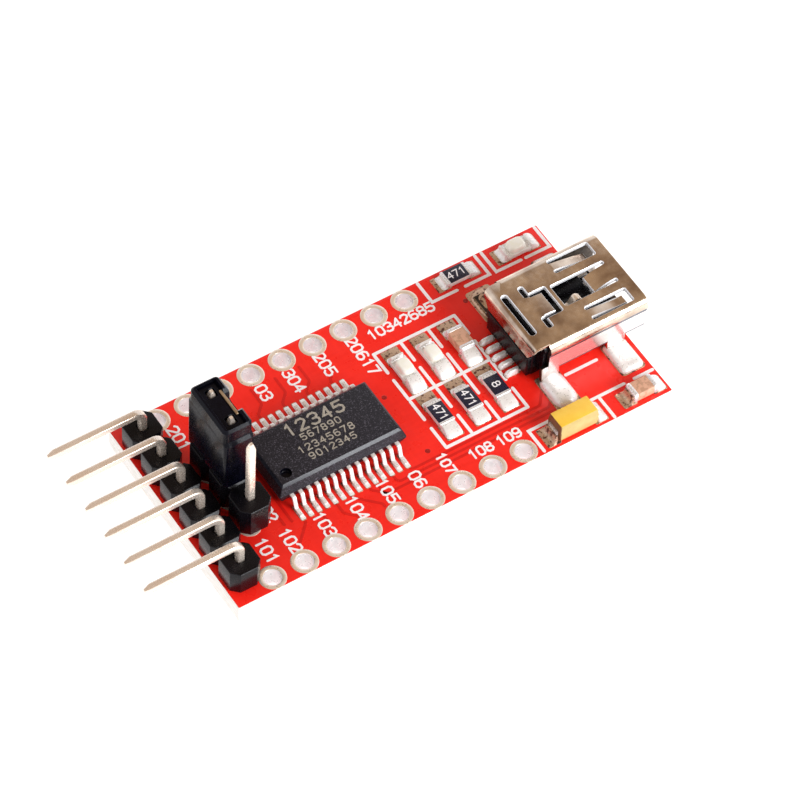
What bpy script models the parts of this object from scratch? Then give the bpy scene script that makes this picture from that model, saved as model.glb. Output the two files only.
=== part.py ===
"""USB-to-serial adapter board: a circuit board with a bent header, a jumper, a mini-USB socket and a chip.

The board's long side lies along X with the USB socket at +X, its width lies along Y, and Z is up. The origin
is under the middle of the whole object, at the height of the lowest pin tips.
"""

import math

import bmesh
import bpy
from mathutils import Vector

MM = 0.001

# The circuit board.
BOARD_LENGTH = 35.4 * MM
BOARD_WIDTH = 17.2 * MM
BOARD_THICKNESS = 1.6 * MM
BOARD_CORNER = 0.4 * MM
PIN_STUB = 1.2 * MM
PITCH = 2.54 * MM

# The two rows of plated holes.
EDGE_HOLES = 9
EDGE_HOLE_FIRST_X = -14.45 * MM
EDGE_HOLE_ROW_Y = 7.62 * MM
EDGE_HOLE_RADIUS = 0.7 * MM
PIN_HOLE_RADIUS = 0.52 * MM
HOLE_SIDES = 16

# The square pins that both headers share, and the plastic strips that hold them.
PIN_SIZE = 0.6 * MM
PIN_TIP = 0.32 * MM
PIN_TAPER = 0.5 * MM
PIN_SLOT = 0.66 * MM
STRIP_NOTCH = 0.55 * MM
STRIP_GROOVE = 0.22 * MM

# The bent six-pin header.
HEADER_PINS = 6
HEADER_X = -16.3 * MM
HEADER_STRIP_WIDTH = 2.4 * MM
HEADER_STRIP_HEIGHT = 2.1 * MM
HEADER_PIN_HEIGHT = 3.8 * MM
HEADER_PIN_BEND = 0.7 * MM
HEADER_REACH = 23.7 * MM

# The straight three-pin header, which stands off the board, and the cap that bridges two of its pins.
JUMPER_PINS = 3
JUMPER_X = -13.6 * MM
JUMPER_Y = -0.7 * MM
JUMPER_STANDOFF = 1.0 * MM
JUMPER_STRIP_WIDTH = 2.45 * MM
JUMPER_STRIP_TOP = 3.5 * MM
JUMPER_PIN_TOP = 9.5 * MM
CAP_LENGTH = 5.0 * MM
CAP_WIDTH = 2.3 * MM
CAP_HEIGHT = 5.95 * MM
CAP_WALL = 0.42 * MM
CAP_CORNER = 0.35 * MM
CAP_RIM_HEIGHT = 1.2 * MM
CAP_RIM_STEP_X = 0.03 * MM
CAP_RIM_STEP_Y = 0.12 * MM
CAP_RIM_SLOPE = 0.1 * MM
CAP_NOTCH_WIDTH = 1.5 * MM
CLIP_SHEET = 0.2 * MM
CLIP_LOW = 0.5 * MM
CLIP_HIGH = 5.5 * MM
CLIP_MOUTH = 1.3 * MM

# The mini-USB socket. Its x values are measured from the board's middle.
USB_MOUTH_X = 18.8 * MM
USB_SHOULDER_X = 10.6 * MM
USB_REAR_X = 9.4 * MM
USB_TOP = 3.95 * MM
USB_FOOT = 0.08 * MM
USB_SHEET = 0.3 * MM
USB_HALF_WIDTH = 3.6 * MM
USB_HALF_BOTTOM = 2.45 * MM
USB_TOP_CORNER = 0.45 * MM
USB_FOOT_CORNER = 0.42 * MM
# Points up each side of the shell's section, as (distance, z). The first two lie outside the bottom's half
# width, the last lies inside the full half width.
USB_SIDE_LOW = (0.1 * MM, 1.3 * MM)
USB_SIDE_MIDDLE = (0.35 * MM, 2.0 * MM)
USB_SIDE_HIGH = (0.3 * MM, 2.65 * MM)
USB_SHOULDER_Z = 3.2 * MM
USB_FLAP_HALF = 2.9 * MM
USB_FLAP_BEND = 0.5 * MM
USB_FLAP_END = 2.4 * MM
USB_TAB_XS = (10.8 * MM, 16.35 * MM)
USB_TAB_WIDTH = 1.5 * MM
USB_TAB_REACH = 5.2 * MM
USB_TAB_OVERLAP = 0.25 * MM

# The openings in the socket's top sheet: spans along X, and half widths or distances from the middle along Y.
USB_SLIT = 0.2 * MM
USB_REAR_SLOT_XS = (10.0 * MM, 10.45 * MM)
USB_REAR_SLOT_HALF = 1.95 * MM
USB_LATCH_HALF = 1.2 * MM
USB_LATCH_BAR_XS = (12.75 * MM, 13.15 * MM)
USB_LATCH_ARM_XS = (11.75 * MM, 12.8 * MM)
USB_LATCH_WING_XS = (11.4 * MM, 11.8 * MM)
USB_LATCH_WING_REACH = 2.0 * MM
USB_WINDOW_HALF = 1.0 * MM
USB_WINDOW_XS = (13.5 * MM, 16.1 * MM)
USB_WINDOW_SLIT_XS = (16.0 * MM, 17.9 * MM)
USB_FINGER_XS = (14.5 * MM, 17.9 * MM)
USB_FINGER_YS = (1.8 * MM, 2.75 * MM)
USB_FINGER_END_X = 17.5 * MM
USB_FINGER_END_YS = (1.85 * MM, 2.9 * MM)

# The socket's insulator.
USB_TONGUE = (12.9 * MM, 17.4 * MM)
USB_TONGUE_HALF = 2.1 * MM
USB_TONGUE_Z = (1.45 * MM, 2.35 * MM)
USB_PEG_X = 12.0 * MM
USB_PEG_Y = 1.8 * MM
USB_PEG_RADIUS = 0.4 * MM
USB_PEG_HOLE = 0.48 * MM
USB_PEG_HOLE_DEPTH = 0.39 * MM
USB_PEG_Z = (-1.3 * MM, 1.0 * MM)
USB_INSULATOR_REAR = 0.78 * MM
USB_CHANNEL_DEPTH = 0.25 * MM
USB_CHANNEL_REACH = 0.5 * MM
USB_CONTACTS = 5
USB_CONTACT_PITCH = 0.8 * MM
USB_CONTACT_WIDTH = 0.3 * MM
USB_CONTACT_SHEET = 0.18 * MM
USB_CONTACT_END = 8.65 * MM
USB_CONTACT_RISER = 0.51 * MM
USB_CONTACT_BEND = 0.15 * MM
USB_CONTACT_SHORT = 0.3 * MM

# The 28-lead chip.
CHIP_X = -5.9 * MM
CHIP_Y = -0.35 * MM
CHIP_LENGTH = 10.2 * MM
CHIP_WIDTH = 5.3 * MM
CHIP_HEIGHT = 1.75 * MM
CHIP_STANDOFF = 0.1 * MM
CHIP_DRAFT = 0.3 * MM
CHIP_BAND = 0.1 * MM
CHIP_DIMPLE_RADIUS = 0.4 * MM
CHIP_DIMPLE_INSET = 1.15 * MM
CHIP_DIMPLE_DEPTH = 0.08 * MM
LEADS_PER_SIDE = 14
LEAD_PITCH = 0.65 * MM
LEAD_WIDTH = 0.3 * MM
LEAD_SHEET = 0.15 * MM
LEAD_SPAN = 8.1 * MM
LEAD_SHOULDER = 0.28 * MM
LEAD_BEND = 0.14 * MM
LEAD_DROP = 0.13 * MM

# The small parts, all of the 2.0 x 1.25 mm size but for the tantalum capacitor.
CHIP_PART_LENGTH = 2.0 * MM
CHIP_PART_WIDTH = 1.25 * MM
TERMINAL = 0.38 * MM
RESISTOR_HEIGHT = 0.5 * MM
CERAMIC_HEIGHT = 0.9 * MM
LED_BASE_HEIGHT = 0.4 * MM
LED_HEIGHT = 0.85 * MM
LED_SLOPE = 0.1 * MM
RESISTOR_RECESS = 0.04 * MM
CERAMIC_RECESS = 0.03 * MM
GRID_XS = (2.55 * MM, 4.9 * MM, 7.2 * MM)
GRID_FAR_Y = 2.4 * MM
GRID_NEAR_Y = -2.1 * MM
EDGE_RESISTOR = (10.15 * MM, 7.55 * MM)
POWER_LED = (15.15 * MM, 7.45 * MM)
EDGE_CERAMIC = (15.7 * MM, -7.6 * MM)
TANTALUM_PLACE = (10.0 * MM, -7.5 * MM, 0)
TANTALUM_LENGTH = 3.2 * MM
TANTALUM_WIDTH = 1.6 * MM
TANTALUM_HEIGHT = 1.6 * MM
TANTALUM_TAB = 0.12 * MM
TANTALUM_TAB_TOP = 0.9 * MM
TANTALUM_DRAFT = 0.08 * MM

# The clearance between soldered or pressed pieces and the piece that they sit on.
GAP = 0.03 * MM

BOARD_X = (HEADER_REACH - USB_MOUTH_X) / 2
BOARD_TOP = PIN_STUB + BOARD_THICKNESS
HEADER_PIN_YS = [(i - (HEADER_PINS - 1) / 2) * PITCH for i in range(HEADER_PINS)]
JUMPER_PIN_YS = [JUMPER_Y + (i - (JUMPER_PINS - 1) / 2) * PITCH for i in range(JUMPER_PINS)]
CAP_Y = (JUMPER_PIN_YS[1] + JUMPER_PIN_YS[2]) / 2
CONTACT_YS = [(i - (USB_CONTACTS - 1) / 2) * USB_CONTACT_PITCH for i in range(USB_CONTACTS)]
CONTACT_Z = USB_TONGUE_Z[1] + GAP + USB_CONTACT_SHEET / 2


def make_material(name, colour, roughness, metallic=0.0):
    material = bpy.data.materials.new(name)
    material.use_nodes = True
    shader = material.node_tree.nodes["Principled BSDF"]
    shader.inputs["Base Color"].default_value = (*colour, 1.0)
    shader.inputs["Roughness"].default_value = roughness
    shader.inputs["Metallic"].default_value = metallic
    return material


def add_empty(name, place, parent=None):
    empty = bpy.data.objects.new(name, None)
    empty.location = place
    empty.parent = parent
    bpy.context.scene.collection.objects.link(empty)
    return empty


def add_object(name, mesh, material, place, parent, turn=0.0):
    if not mesh.materials:
        mesh.materials.append(material)
    obj = bpy.data.objects.new(name, mesh)
    obj.location = place
    obj.rotation_euler = (0.0, 0.0, turn)
    obj.parent = parent
    bpy.context.scene.collection.objects.link(obj)
    return obj


def finish_mesh(name, bm, smooth_angle=None):
    bmesh.ops.recalc_face_normals(bm, faces=bm.faces)
    mesh = bpy.data.meshes.new(name)
    bm.to_mesh(mesh)
    bm.free()
    if smooth_angle:
        mesh.shade_smooth()
        mesh.set_sharp_from_angle(angle=math.radians(smooth_angle))
    return mesh


def add_loft(bm, sections):
    """Joins rings of equal length into one closed body with flat ends."""
    rings = [[bm.verts.new(point) for point in section] for section in sections]
    for lower, upper in zip(rings, rings[1:]):
        for i in range(len(lower)):
            j = (i + 1) % len(lower)
            bm.faces.new((lower[i], lower[j], upper[j], upper[i]))
    bm.faces.new(rings[0][::-1])
    bm.faces.new(rings[-1])


def add_box(bm, xs, ys, zs):
    corners = [(xs[0], ys[0]), (xs[1], ys[0]), (xs[1], ys[1]), (xs[0], ys[1])]
    add_loft(bm, [[(x, y, z) for x, y in corners] for z in zs])


def loft_mesh(name, sections, smooth_angle=None):
    bm = bmesh.new()
    add_loft(bm, sections)
    return finish_mesh(name, bm, smooth_angle)


def flat_ring(outline, z):
    return [(x, y, z) for x, y in outline]


def circle(radius, sides, centre=(0.0, 0.0)):
    angles = [math.tau * i / sides for i in range(sides)]
    return [(centre[0] + radius * math.cos(a), centre[1] + radius * math.sin(a)) for a in angles]


def arc(centre, radius, start, end, steps):
    """Points of an arc in a plane, its angles in degrees."""
    angles = [math.radians(start + (end - start) * i / steps) for i in range(steps + 1)]
    return [(centre[0] + radius * math.cos(a), centre[1] + radius * math.sin(a)) for a in angles]


def rounded_rectangle(length, width, radius, steps=4):
    x = length / 2 - radius
    y = width / 2 - radius
    corners = [((x, y), 0), ((-x, y), 90), ((-x, -y), 180), ((x, -y), 270)]
    return [p for centre, start in corners for p in arc(centre, radius, start, start + 90, steps)]


def offset_ring(points, distance):
    """Moves a counter-clockwise outline inwards by the same distance all round."""
    moved = []
    for i, point in enumerate(points):
        before = Vector(points[i - 1])
        here = Vector(point)
        after = Vector(points[(i + 1) % len(points)])
        d1 = (here - before).normalized()
        d2 = (after - here).normalized()
        normal = Vector((-d1.y - d2.y, d1.x + d2.x)).normalized()
        shift = distance / max(0.2, normal.dot(Vector((-d1.y, d1.x))))
        moved.append(tuple(here + normal * shift))
    return moved


def bar_sections(path, halves, width):
    """Rings of a flat bar that follows a path in the XZ plane. halves are its half thicknesses on the way."""
    sections = []
    for i, (x, z) in enumerate(path):
        here = Vector((x, z))
        d1 = (here - Vector(path[max(i - 1, 0)])).normalized()
        d2 = (Vector(path[min(i + 1, len(path) - 1)]) - here).normalized()
        d1 = d1 if i else d2
        d2 = d2 if i < len(path) - 1 else d1
        normal = Vector((-d1.y - d2.y, d1.x + d2.x)).normalized()
        reach = halves[i] / normal.dot(Vector((-d1.y, d1.x)))
        top = here + normal * reach
        low = here - normal * reach
        side = width / 2 * halves[i] / max(halves)
        upper = [(top.x, -side, top.y), (top.x, side, top.y)]
        sections.append(upper + [(low.x, side, low.y), (low.x, -side, low.y)])
    return sections


def make_helper(name, bm, parent):
    """A hidden body that a Boolean takes: it is no piece of its own."""
    helper = bpy.data.objects.new(name, finish_mesh(name, bm))
    helper.parent = parent
    helper.hide_render = True
    helper.display_type = "WIRE"
    bpy.context.scene.collection.objects.link(helper)
    return helper


def add_boolean(obj, helper, operation):
    modifier = obj.modifiers.new(helper.name, "BOOLEAN")
    modifier.object = helper
    modifier.operation = operation
    modifier.solver = "EXACT"
    modifier.use_self = True


def edge_hole_centres():
    xs = [EDGE_HOLE_FIRST_X + i * PITCH for i in range(EDGE_HOLES)]
    return [(x, side * EDGE_HOLE_ROW_Y) for side in (-1, 1) for x in xs]


def add_drills(bm, centres, radius):
    for centre in centres:
        outline = circle(radius, HOLE_SIDES, centre)
        add_loft(bm, [flat_ring(outline, -BOARD_THICKNESS - MM), flat_ring(outline, MM)])


def make_board(root, material):
    outline = rounded_rectangle(BOARD_LENGTH, BOARD_WIDTH, BOARD_CORNER)
    mesh = loft_mesh("pcb", [flat_ring(outline, -BOARD_THICKNESS), flat_ring(outline, 0.0)])
    board = add_object("pcb", mesh, material, (0, 0, 0), root)
    drills = bmesh.new()
    add_drills(drills, edge_hole_centres(), EDGE_HOLE_RADIUS)
    add_drills(drills, [(HEADER_X, y) for y in HEADER_PIN_YS], PIN_HOLE_RADIUS)
    add_drills(drills, [(JUMPER_X, y) for y in JUMPER_PIN_YS], PIN_HOLE_RADIUS)
    add_drills(drills, [(USB_PEG_X, -USB_PEG_Y), (USB_PEG_X, USB_PEG_Y)], USB_PEG_HOLE)
    add_boolean(board, make_helper("pcb_drills", drills, root), "DIFFERENCE")


def strip_outline(pins, width):
    """A header's plastic strip from above: one square a pin, with V notches between squares and cut ends."""
    half = width / 2
    side = []
    for i in range(pins):
        low = (i - pins / 2) * PITCH
        side.append((half - STRIP_NOTCH, low))
        side.append((half, low + STRIP_NOTCH))
        side.append((half, low + PITCH - STRIP_NOTCH))
    side.append((half - STRIP_NOTCH, pins / 2 * PITCH))
    return side + [(-x, -y) for x, y in side]


def make_strip(name, pins, width, low, height, place, root, material):
    outline = strip_outline(pins, width)
    mesh = loft_mesh(name, [flat_ring(outline, low), flat_ring(outline, height)])
    strip = add_object(name, mesh, material, place, root)
    cuts = bmesh.new()
    slot = (-PIN_SLOT / 2, PIN_SLOT / 2)
    for i in range(pins):
        y = (i - (pins - 1) / 2) * PITCH
        add_box(cuts, slot, (y + slot[0], y + slot[1]), (-MM, height + MM))
    for i in range(1, pins):
        y = (i - pins / 2) * PITCH
        reach = STRIP_GROOVE * 1.5
        wedge = [(y - reach, height + reach / 2), (y + reach, height + reach / 2), (y, height - STRIP_GROOVE)]
        add_loft(cuts, [[(x, p, z) for p, z in wedge] for x in (-width, width)])
    helper = make_helper(name + "_cuts", cuts, strip)
    add_boolean(strip, helper, "DIFFERENCE")


def make_bent_header(root, plastic, metal):
    place = (HEADER_X, 0, 0)
    make_strip("header_block", HEADER_PINS, HEADER_STRIP_WIDTH, GAP, HEADER_STRIP_HEIGHT, place, root, plastic)
    low = -BOARD_THICKNESS - PIN_STUB
    reach = HEADER_REACH + HEADER_X
    bend = (-HEADER_PIN_BEND, HEADER_PIN_HEIGHT - HEADER_PIN_BEND)
    path = [(0, low), (0, low + PIN_TAPER)]
    path += arc(bend, HEADER_PIN_BEND, 0, 90, 6)
    path += [(-reach + PIN_TAPER, HEADER_PIN_HEIGHT), (-reach, HEADER_PIN_HEIGHT)]
    halves = [PIN_TIP / 2] + [PIN_SIZE / 2] * (len(path) - 2) + [PIN_TIP / 2]
    mesh = loft_mesh("header_pin", bar_sections(path, halves, PIN_SIZE))
    for i, y in enumerate(HEADER_PIN_YS):
        add_object(f"header_pin_{i + 1}", mesh, metal, (HEADER_X, y, 0), root)


def make_jumper_header(root, plastic, metal):
    place = (JUMPER_X, JUMPER_Y, 0)
    low, top = JUMPER_STANDOFF, JUMPER_STRIP_TOP
    make_strip("jumper_block", JUMPER_PINS, JUMPER_STRIP_WIDTH, low, top, place, root, plastic)
    low = -BOARD_THICKNESS - PIN_STUB
    path = [(0, low), (0, low + PIN_TAPER), (0, JUMPER_PIN_TOP - PIN_TAPER), (0, JUMPER_PIN_TOP)]
    halves = [PIN_TIP / 2, PIN_SIZE / 2, PIN_SIZE / 2, PIN_TIP / 2]
    mesh = loft_mesh("jumper_pin", bar_sections(path, halves, PIN_SIZE))
    for i, y in enumerate(JUMPER_PIN_YS):
        add_object(f"jumper_pin_{i + 1}", mesh, metal, (JUMPER_X, y, 0), root)


def make_jumper_cap(root, plastic, metal):
    """The cap and its contact clip. Both have their origin on the line that the cap slides up along."""
    slide = add_empty("jumper_slide", (JUMPER_X, CAP_Y, JUMPER_STRIP_TOP + 2 * GAP), root)
    body = rounded_rectangle(CAP_WIDTH, CAP_LENGTH, CAP_CORNER)
    rim = rounded_rectangle(CAP_WIDTH - 2 * CAP_RIM_STEP_X, CAP_LENGTH - 2 * CAP_RIM_STEP_Y, CAP_CORNER)
    ledge = CAP_HEIGHT - CAP_RIM_HEIGHT
    levels = [flat_ring(body, z) for z in (0.0, ledge)]
    levels += [flat_ring(rim, z) for z in (ledge + CAP_RIM_SLOPE, CAP_HEIGHT)]
    cap = add_object("jumper_cap", loft_mesh("jumper_cap", levels, 30), plastic, (0, 0, 0), slide)
    well = (CAP_WIDTH / 2 - CAP_WALL, CAP_LENGTH / 2 - CAP_WALL)
    cuts = bmesh.new()
    add_box(cuts, (-well[0], well[0]), (-well[1], well[1]), (-MM, CAP_HEIGHT + MM))
    notch_y = CAP_NOTCH_WIDTH / 2
    add_box(cuts, (-CAP_WIDTH, CAP_WIDTH), (-notch_y, notch_y), (ledge + CAP_RIM_SLOPE, CAP_HEIGHT + MM))
    add_boolean(cap, make_helper("jumper_cap_cuts", cuts, slide), "DIFFERENCE")

    x = well[0] - GAP
    y = well[1] - GAP
    mouth = CLIP_MOUTH / 2
    inner_x = x - CLIP_SHEET
    inner_y = y - CLIP_SHEET
    outline = [(x, mouth), (x, y), (-x, y), (-x, -y), (x, -y), (x, -mouth)]
    outline += [(inner_x, -mouth), (inner_x, -inner_y), (-inner_x, -inner_y)]
    outline += [(-inner_x, inner_y), (inner_x, inner_y), (inner_x, mouth)]
    clip = loft_mesh("jumper_contact", [flat_ring(outline, CLIP_LOW), flat_ring(outline, CLIP_HIGH)])
    add_object("jumper_contact", clip, metal, (0, 0, 0), slide)


def usb_outline():
    """The socket's outer section across Y, counter-clockwise from the mouth: wide on top, drawn in below."""
    corner = USB_TOP_CORNER
    foot = USB_FOOT_CORNER
    right = arc((USB_HALF_BOTTOM - foot, USB_FOOT + foot), foot, -90, 0, 3)
    right += [(USB_HALF_BOTTOM + out, z) for out, z in (USB_SIDE_LOW, USB_SIDE_MIDDLE)]
    right += [(USB_HALF_WIDTH - USB_SIDE_HIGH[0], USB_SIDE_HIGH[1]), (USB_HALF_WIDTH, USB_SHOULDER_Z)]
    right += arc((USB_HALF_WIDTH - corner, USB_TOP - corner), corner, 0, 90, 4)
    right += [(USB_FLAP_HALF, USB_TOP)]
    return right + [(-y, z) for y, z in reversed(right)]


def make_usb_shell(root, metal):
    outer = usb_outline()
    inner = offset_ring(outer, USB_SHEET)
    bm = bmesh.new()
    rings = {}
    for key, outline in (("outer", outer), ("inner", inner)):
        for x in (USB_SHOULDER_X, USB_MOUTH_X):
            rings[key, x] = [bm.verts.new((x, y, z)) for y, z in outline]
    flap = len(outer) // 2 - 1
    pairs = [("outer", USB_SHOULDER_X), ("outer", USB_MOUTH_X)]
    pairs += [("inner", USB_MOUTH_X), ("inner", USB_SHOULDER_X)]
    flap_face = None
    for a, b in zip(pairs, pairs[1:] + pairs[:1]):
        for i in range(len(outer)):
            j = (i + 1) % len(outer)
            face = bm.faces.new((rings[a][i], rings[a][j], rings[b][j], rings[b][i]))
            if a == pairs[3] and i == flap:
                flap_face = face
    extrude_flap(bm, flap_face)
    shell = add_object("usb_shell", finish_mesh("usb_shell", bm, 30), metal, (0, 0, 0), root)

    tabs = bmesh.new()
    for x in USB_TAB_XS:
        xs = (x - USB_TAB_WIDTH / 2, x + USB_TAB_WIDTH / 2)
        add_mirrored_box(tabs, xs, (USB_HALF_BOTTOM - USB_TAB_OVERLAP, USB_TAB_REACH), (GAP, GAP + USB_SHEET))
    add_boolean(shell, make_helper("usb_shell_tabs", tabs, root), "UNION")
    add_boolean(shell, make_helper("usb_shell_cuts", usb_cuts(), root), "DIFFERENCE")


def extrude_flap(bm, face):
    """Draws the narrow rear flap out of the top sheet, round a bend and down behind the socket."""
    centre = (USB_REAR_X + USB_FLAP_BEND, USB_TOP - USB_FLAP_BEND)
    outside = arc(centre, USB_FLAP_BEND, 90, 180, 4) + [(USB_REAR_X, USB_FLAP_END)]
    inside = arc(centre, USB_FLAP_BEND - USB_SHEET, 90, 180, 4) + [(USB_REAR_X + USB_SHEET, USB_FLAP_END)]
    is_outer = [vert.co.z > USB_TOP - USB_SHEET / 2 for vert in face.verts]
    for out_point, in_point in zip(outside, inside):
        before = [vert.co.copy() for vert in face.verts]
        face = bmesh.ops.extrude_discrete_faces(bm, faces=[face])["faces"][0]
        sources = [min(range(4), key=lambda k: (before[k] - vert.co).length) for vert in face.verts]
        is_outer = [is_outer[k] for k in sources]
        for vert, outer_corner in zip(face.verts, is_outer):
            x, z = out_point if outer_corner else in_point
            vert.co = (x, vert.co.y, z)


def add_mirrored_box(bm, xs, ys, zs):
    """A box and its mirror image across the socket's middle."""
    for side in (-1, 1):
        add_box(bm, xs, sorted(side * y for y in ys), zs)


def usb_cuts():
    """The openings in the socket's sheet: a rear slot, the latch, a window, spring fingers and peg holes."""
    cuts = bmesh.new()
    top = (USB_TOP - 2 * USB_SHEET, USB_TOP + MM)
    add_box(cuts, USB_REAR_SLOT_XS, (-USB_REAR_SLOT_HALF, USB_REAR_SLOT_HALF), top)

    add_box(cuts, USB_LATCH_BAR_XS, (-USB_LATCH_HALF, USB_LATCH_HALF), top)
    add_mirrored_box(cuts, USB_LATCH_ARM_XS, (USB_LATCH_HALF - USB_SLIT, USB_LATCH_HALF), top)
    add_mirrored_box(cuts, USB_LATCH_WING_XS, (USB_LATCH_HALF - USB_SLIT, USB_LATCH_WING_REACH), top)

    add_box(cuts, USB_WINDOW_XS, (-USB_WINDOW_HALF, USB_WINDOW_HALF), top)
    add_mirrored_box(cuts, USB_WINDOW_SLIT_XS, (USB_WINDOW_HALF - USB_SLIT, USB_WINDOW_HALF), top)

    for y in USB_FINGER_YS:
        add_mirrored_box(cuts, USB_FINGER_XS, (y, y + USB_SLIT), top)
    add_mirrored_box(cuts, (USB_FINGER_END_X, USB_FINGER_XS[1]), USB_FINGER_END_YS, top)

    for side in (-1, 1):
        hole = circle(USB_PEG_HOLE, HOLE_SIDES, (USB_PEG_X, side * USB_PEG_Y))
        add_loft(cuts, [flat_ring(hole, -MM), flat_ring(hole, USB_FOOT + USB_PEG_HOLE_DEPTH)])
    return cuts


def make_usb_insulator(root, plastic):
    outline = offset_ring(usb_outline(), USB_SHEET + GAP)
    rear = (USB_REAR_X + USB_INSULATOR_REAR, USB_TONGUE[0])
    mesh = loft_mesh("usb_insulator", [[(x, y, z) for y, z in outline] for x in rear])
    insulator = add_object("usb_insulator", mesh, plastic, (0, 0, 0), root)

    solids = bmesh.new()
    tongue_xs = (USB_TONGUE[0] - USB_CHANNEL_REACH, USB_TONGUE[1])
    add_box(solids, tongue_xs, (-USB_TONGUE_HALF, USB_TONGUE_HALF), USB_TONGUE_Z)
    for side in (-1, 1):
        peg = circle(USB_PEG_RADIUS, HOLE_SIDES, (USB_PEG_X, side * USB_PEG_Y))
        add_loft(solids, [flat_ring(peg, z) for z in USB_PEG_Z])
    add_boolean(insulator, make_helper("usb_insulator_solids", solids, root), "UNION")

    channels = bmesh.new()
    xs = (USB_REAR_X, USB_TONGUE[0] + USB_CHANNEL_REACH)
    low = CONTACT_Z - USB_CONTACT_SHEET / 2 - GAP
    half = USB_CONTACT_WIDTH / 2 + GAP
    for y in CONTACT_YS:
        add_box(channels, xs, (y - half, y + half), (low, low + USB_CHANNEL_DEPTH))
    add_boolean(insulator, make_helper("usb_insulator_channels", channels, root), "DIFFERENCE")


def make_usb_contacts(root, metal):
    """Each contact is a strip with a foot behind the socket, a riser and a blade on top of the tongue."""
    foot_z = GAP + USB_CONTACT_SHEET / 2
    riser_x = USB_REAR_X + USB_CONTACT_RISER
    bend = USB_CONTACT_BEND
    path = [(USB_CONTACT_END, foot_z), (riser_x - bend, foot_z)]
    path += [(riser_x, foot_z + bend), (riser_x, CONTACT_Z - bend), (riser_x + bend, CONTACT_Z)]
    path += [(USB_TONGUE[1] - USB_CONTACT_SHORT, CONTACT_Z)]
    halves = [USB_CONTACT_SHEET / 2] * len(path)
    mesh = loft_mesh("usb_contact", bar_sections(path, halves, USB_CONTACT_WIDTH))
    for i, y in enumerate(CONTACT_YS):
        add_object(f"usb_contact_{i + 1}", mesh, metal, (0, y, 0), root)


def make_chip(root, plastic, metal):
    """The chip's body is drawn in above and below its middle, as a moulded package is."""
    middle = CHIP_STANDOFF + CHIP_HEIGHT / 2
    levels = [(CHIP_STANDOFF, CHIP_DRAFT), (middle - CHIP_BAND, 0.0)]
    levels += [(middle + CHIP_BAND, 0.0), (CHIP_STANDOFF + CHIP_HEIGHT, CHIP_DRAFT)]
    sections = []
    for z, inset in levels:
        x = CHIP_LENGTH / 2 - inset
        y = CHIP_WIDTH / 2 - inset
        sections.append([(x, -y, z), (x, y, z), (-x, y, z), (-x, -y, z)])
    centre = (CHIP_X, CHIP_Y, 0)
    body = add_object("chip_body", loft_mesh("chip_body", sections), plastic, centre, root)
    dimple = bmesh.new()
    mark = (CHIP_DIMPLE_INSET - CHIP_LENGTH / 2, CHIP_DIMPLE_INSET - CHIP_WIDTH / 2)
    outline = circle(CHIP_DIMPLE_RADIUS, HOLE_SIDES, mark)
    top = CHIP_STANDOFF + CHIP_HEIGHT
    add_loft(dimple, [flat_ring(outline, top - CHIP_DIMPLE_DEPTH), flat_ring(outline, top + MM)])
    add_boolean(body, make_helper("chip_dimple", dimple, body), "DIFFERENCE")

    half = CHIP_WIDTH / 2 + GAP
    foot_z = GAP + LEAD_SHEET / 2
    knee = half + LEAD_SHOULDER + LEAD_BEND
    ankle = knee + LEAD_DROP
    path = [(half, middle), (half + LEAD_SHOULDER, middle), (knee, middle - LEAD_BEND)]
    path += [(ankle, foot_z + LEAD_BEND), (ankle + LEAD_BEND, foot_z), (LEAD_SPAN / 2, foot_z)]
    lead = loft_mesh("chip_lead", bar_sections(path, [LEAD_SHEET / 2] * len(path), LEAD_WIDTH))
    for i in range(2 * LEADS_PER_SIDE):
        near = i < LEADS_PER_SIDE
        step = i if near else 2 * LEADS_PER_SIDE - 1 - i
        x = CHIP_X + (step - (LEADS_PER_SIDE - 1) / 2) * LEAD_PITCH
        turn = math.radians(-90 if near else 90)
        add_object(f"chip_lead_{i + 1:02d}", lead, metal, (x, CHIP_Y, 0), root, turn)


def side_profile_mesh(name, profile, width):
    """A small part from its outline seen from the side, as deep as it is wide."""
    return loft_mesh(name, [[(x, y, z) for x, z in profile] for y in (-width / 2, width / 2)])


def end_cap_profile(height, recess):
    """A block whose two soldered ends stand a little proud of its middle."""
    end = CHIP_PART_LENGTH / 2
    shoulder = end - TERMINAL
    right = [(end, GAP), (end, height), (shoulder, height), (shoulder, height - recess)]
    return right + [(-x, z) for x, z in reversed(right)]


def led_profile():
    end = CHIP_PART_LENGTH / 2
    low = end - TERMINAL
    high = low - LED_SLOPE
    right = [(end, GAP), (end, LED_BASE_HEIGHT), (low, LED_BASE_HEIGHT), (high, LED_HEIGHT)]
    return right + [(-x, z) for x, z in reversed(right)]


def make_small_parts(root, materials):
    """Lamps, resistors and ceramic capacitors. Those in the grid lie along Y, the rest along X."""
    profiles = {
        "resistor": end_cap_profile(RESISTOR_HEIGHT, RESISTOR_RECESS),
        "ceramic": end_cap_profile(CERAMIC_HEIGHT, CERAMIC_RECESS),
        "led": led_profile(),
    }
    meshes = {kind: side_profile_mesh(kind, profile, CHIP_PART_WIDTH) for kind, profile in profiles.items()}
    across = math.radians(90)
    far = ("led_tx", "led"), ("led_rx", "led"), ("ceramic_capacitor_1", "ceramic")
    near = ("resistor_1", "resistor"), ("resistor_2", "resistor"), ("resistor_3", "resistor")
    places = [(*kind, x, GRID_FAR_Y, across) for kind, x in zip(far, GRID_XS)]
    places += [(*kind, x, GRID_NEAR_Y, across) for kind, x in zip(near, GRID_XS)]
    places += [
        ("resistor_4", "resistor", *EDGE_RESISTOR, 0.0),
        ("led_power", "led", *POWER_LED, 0.0),
        ("ceramic_capacitor_2", "ceramic", *EDGE_CERAMIC, 0.0),
    ]
    for name, kind, x, y, turn in places:
        add_object(name, meshes[kind], materials[kind], (x, y, 0), root, turn)


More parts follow.
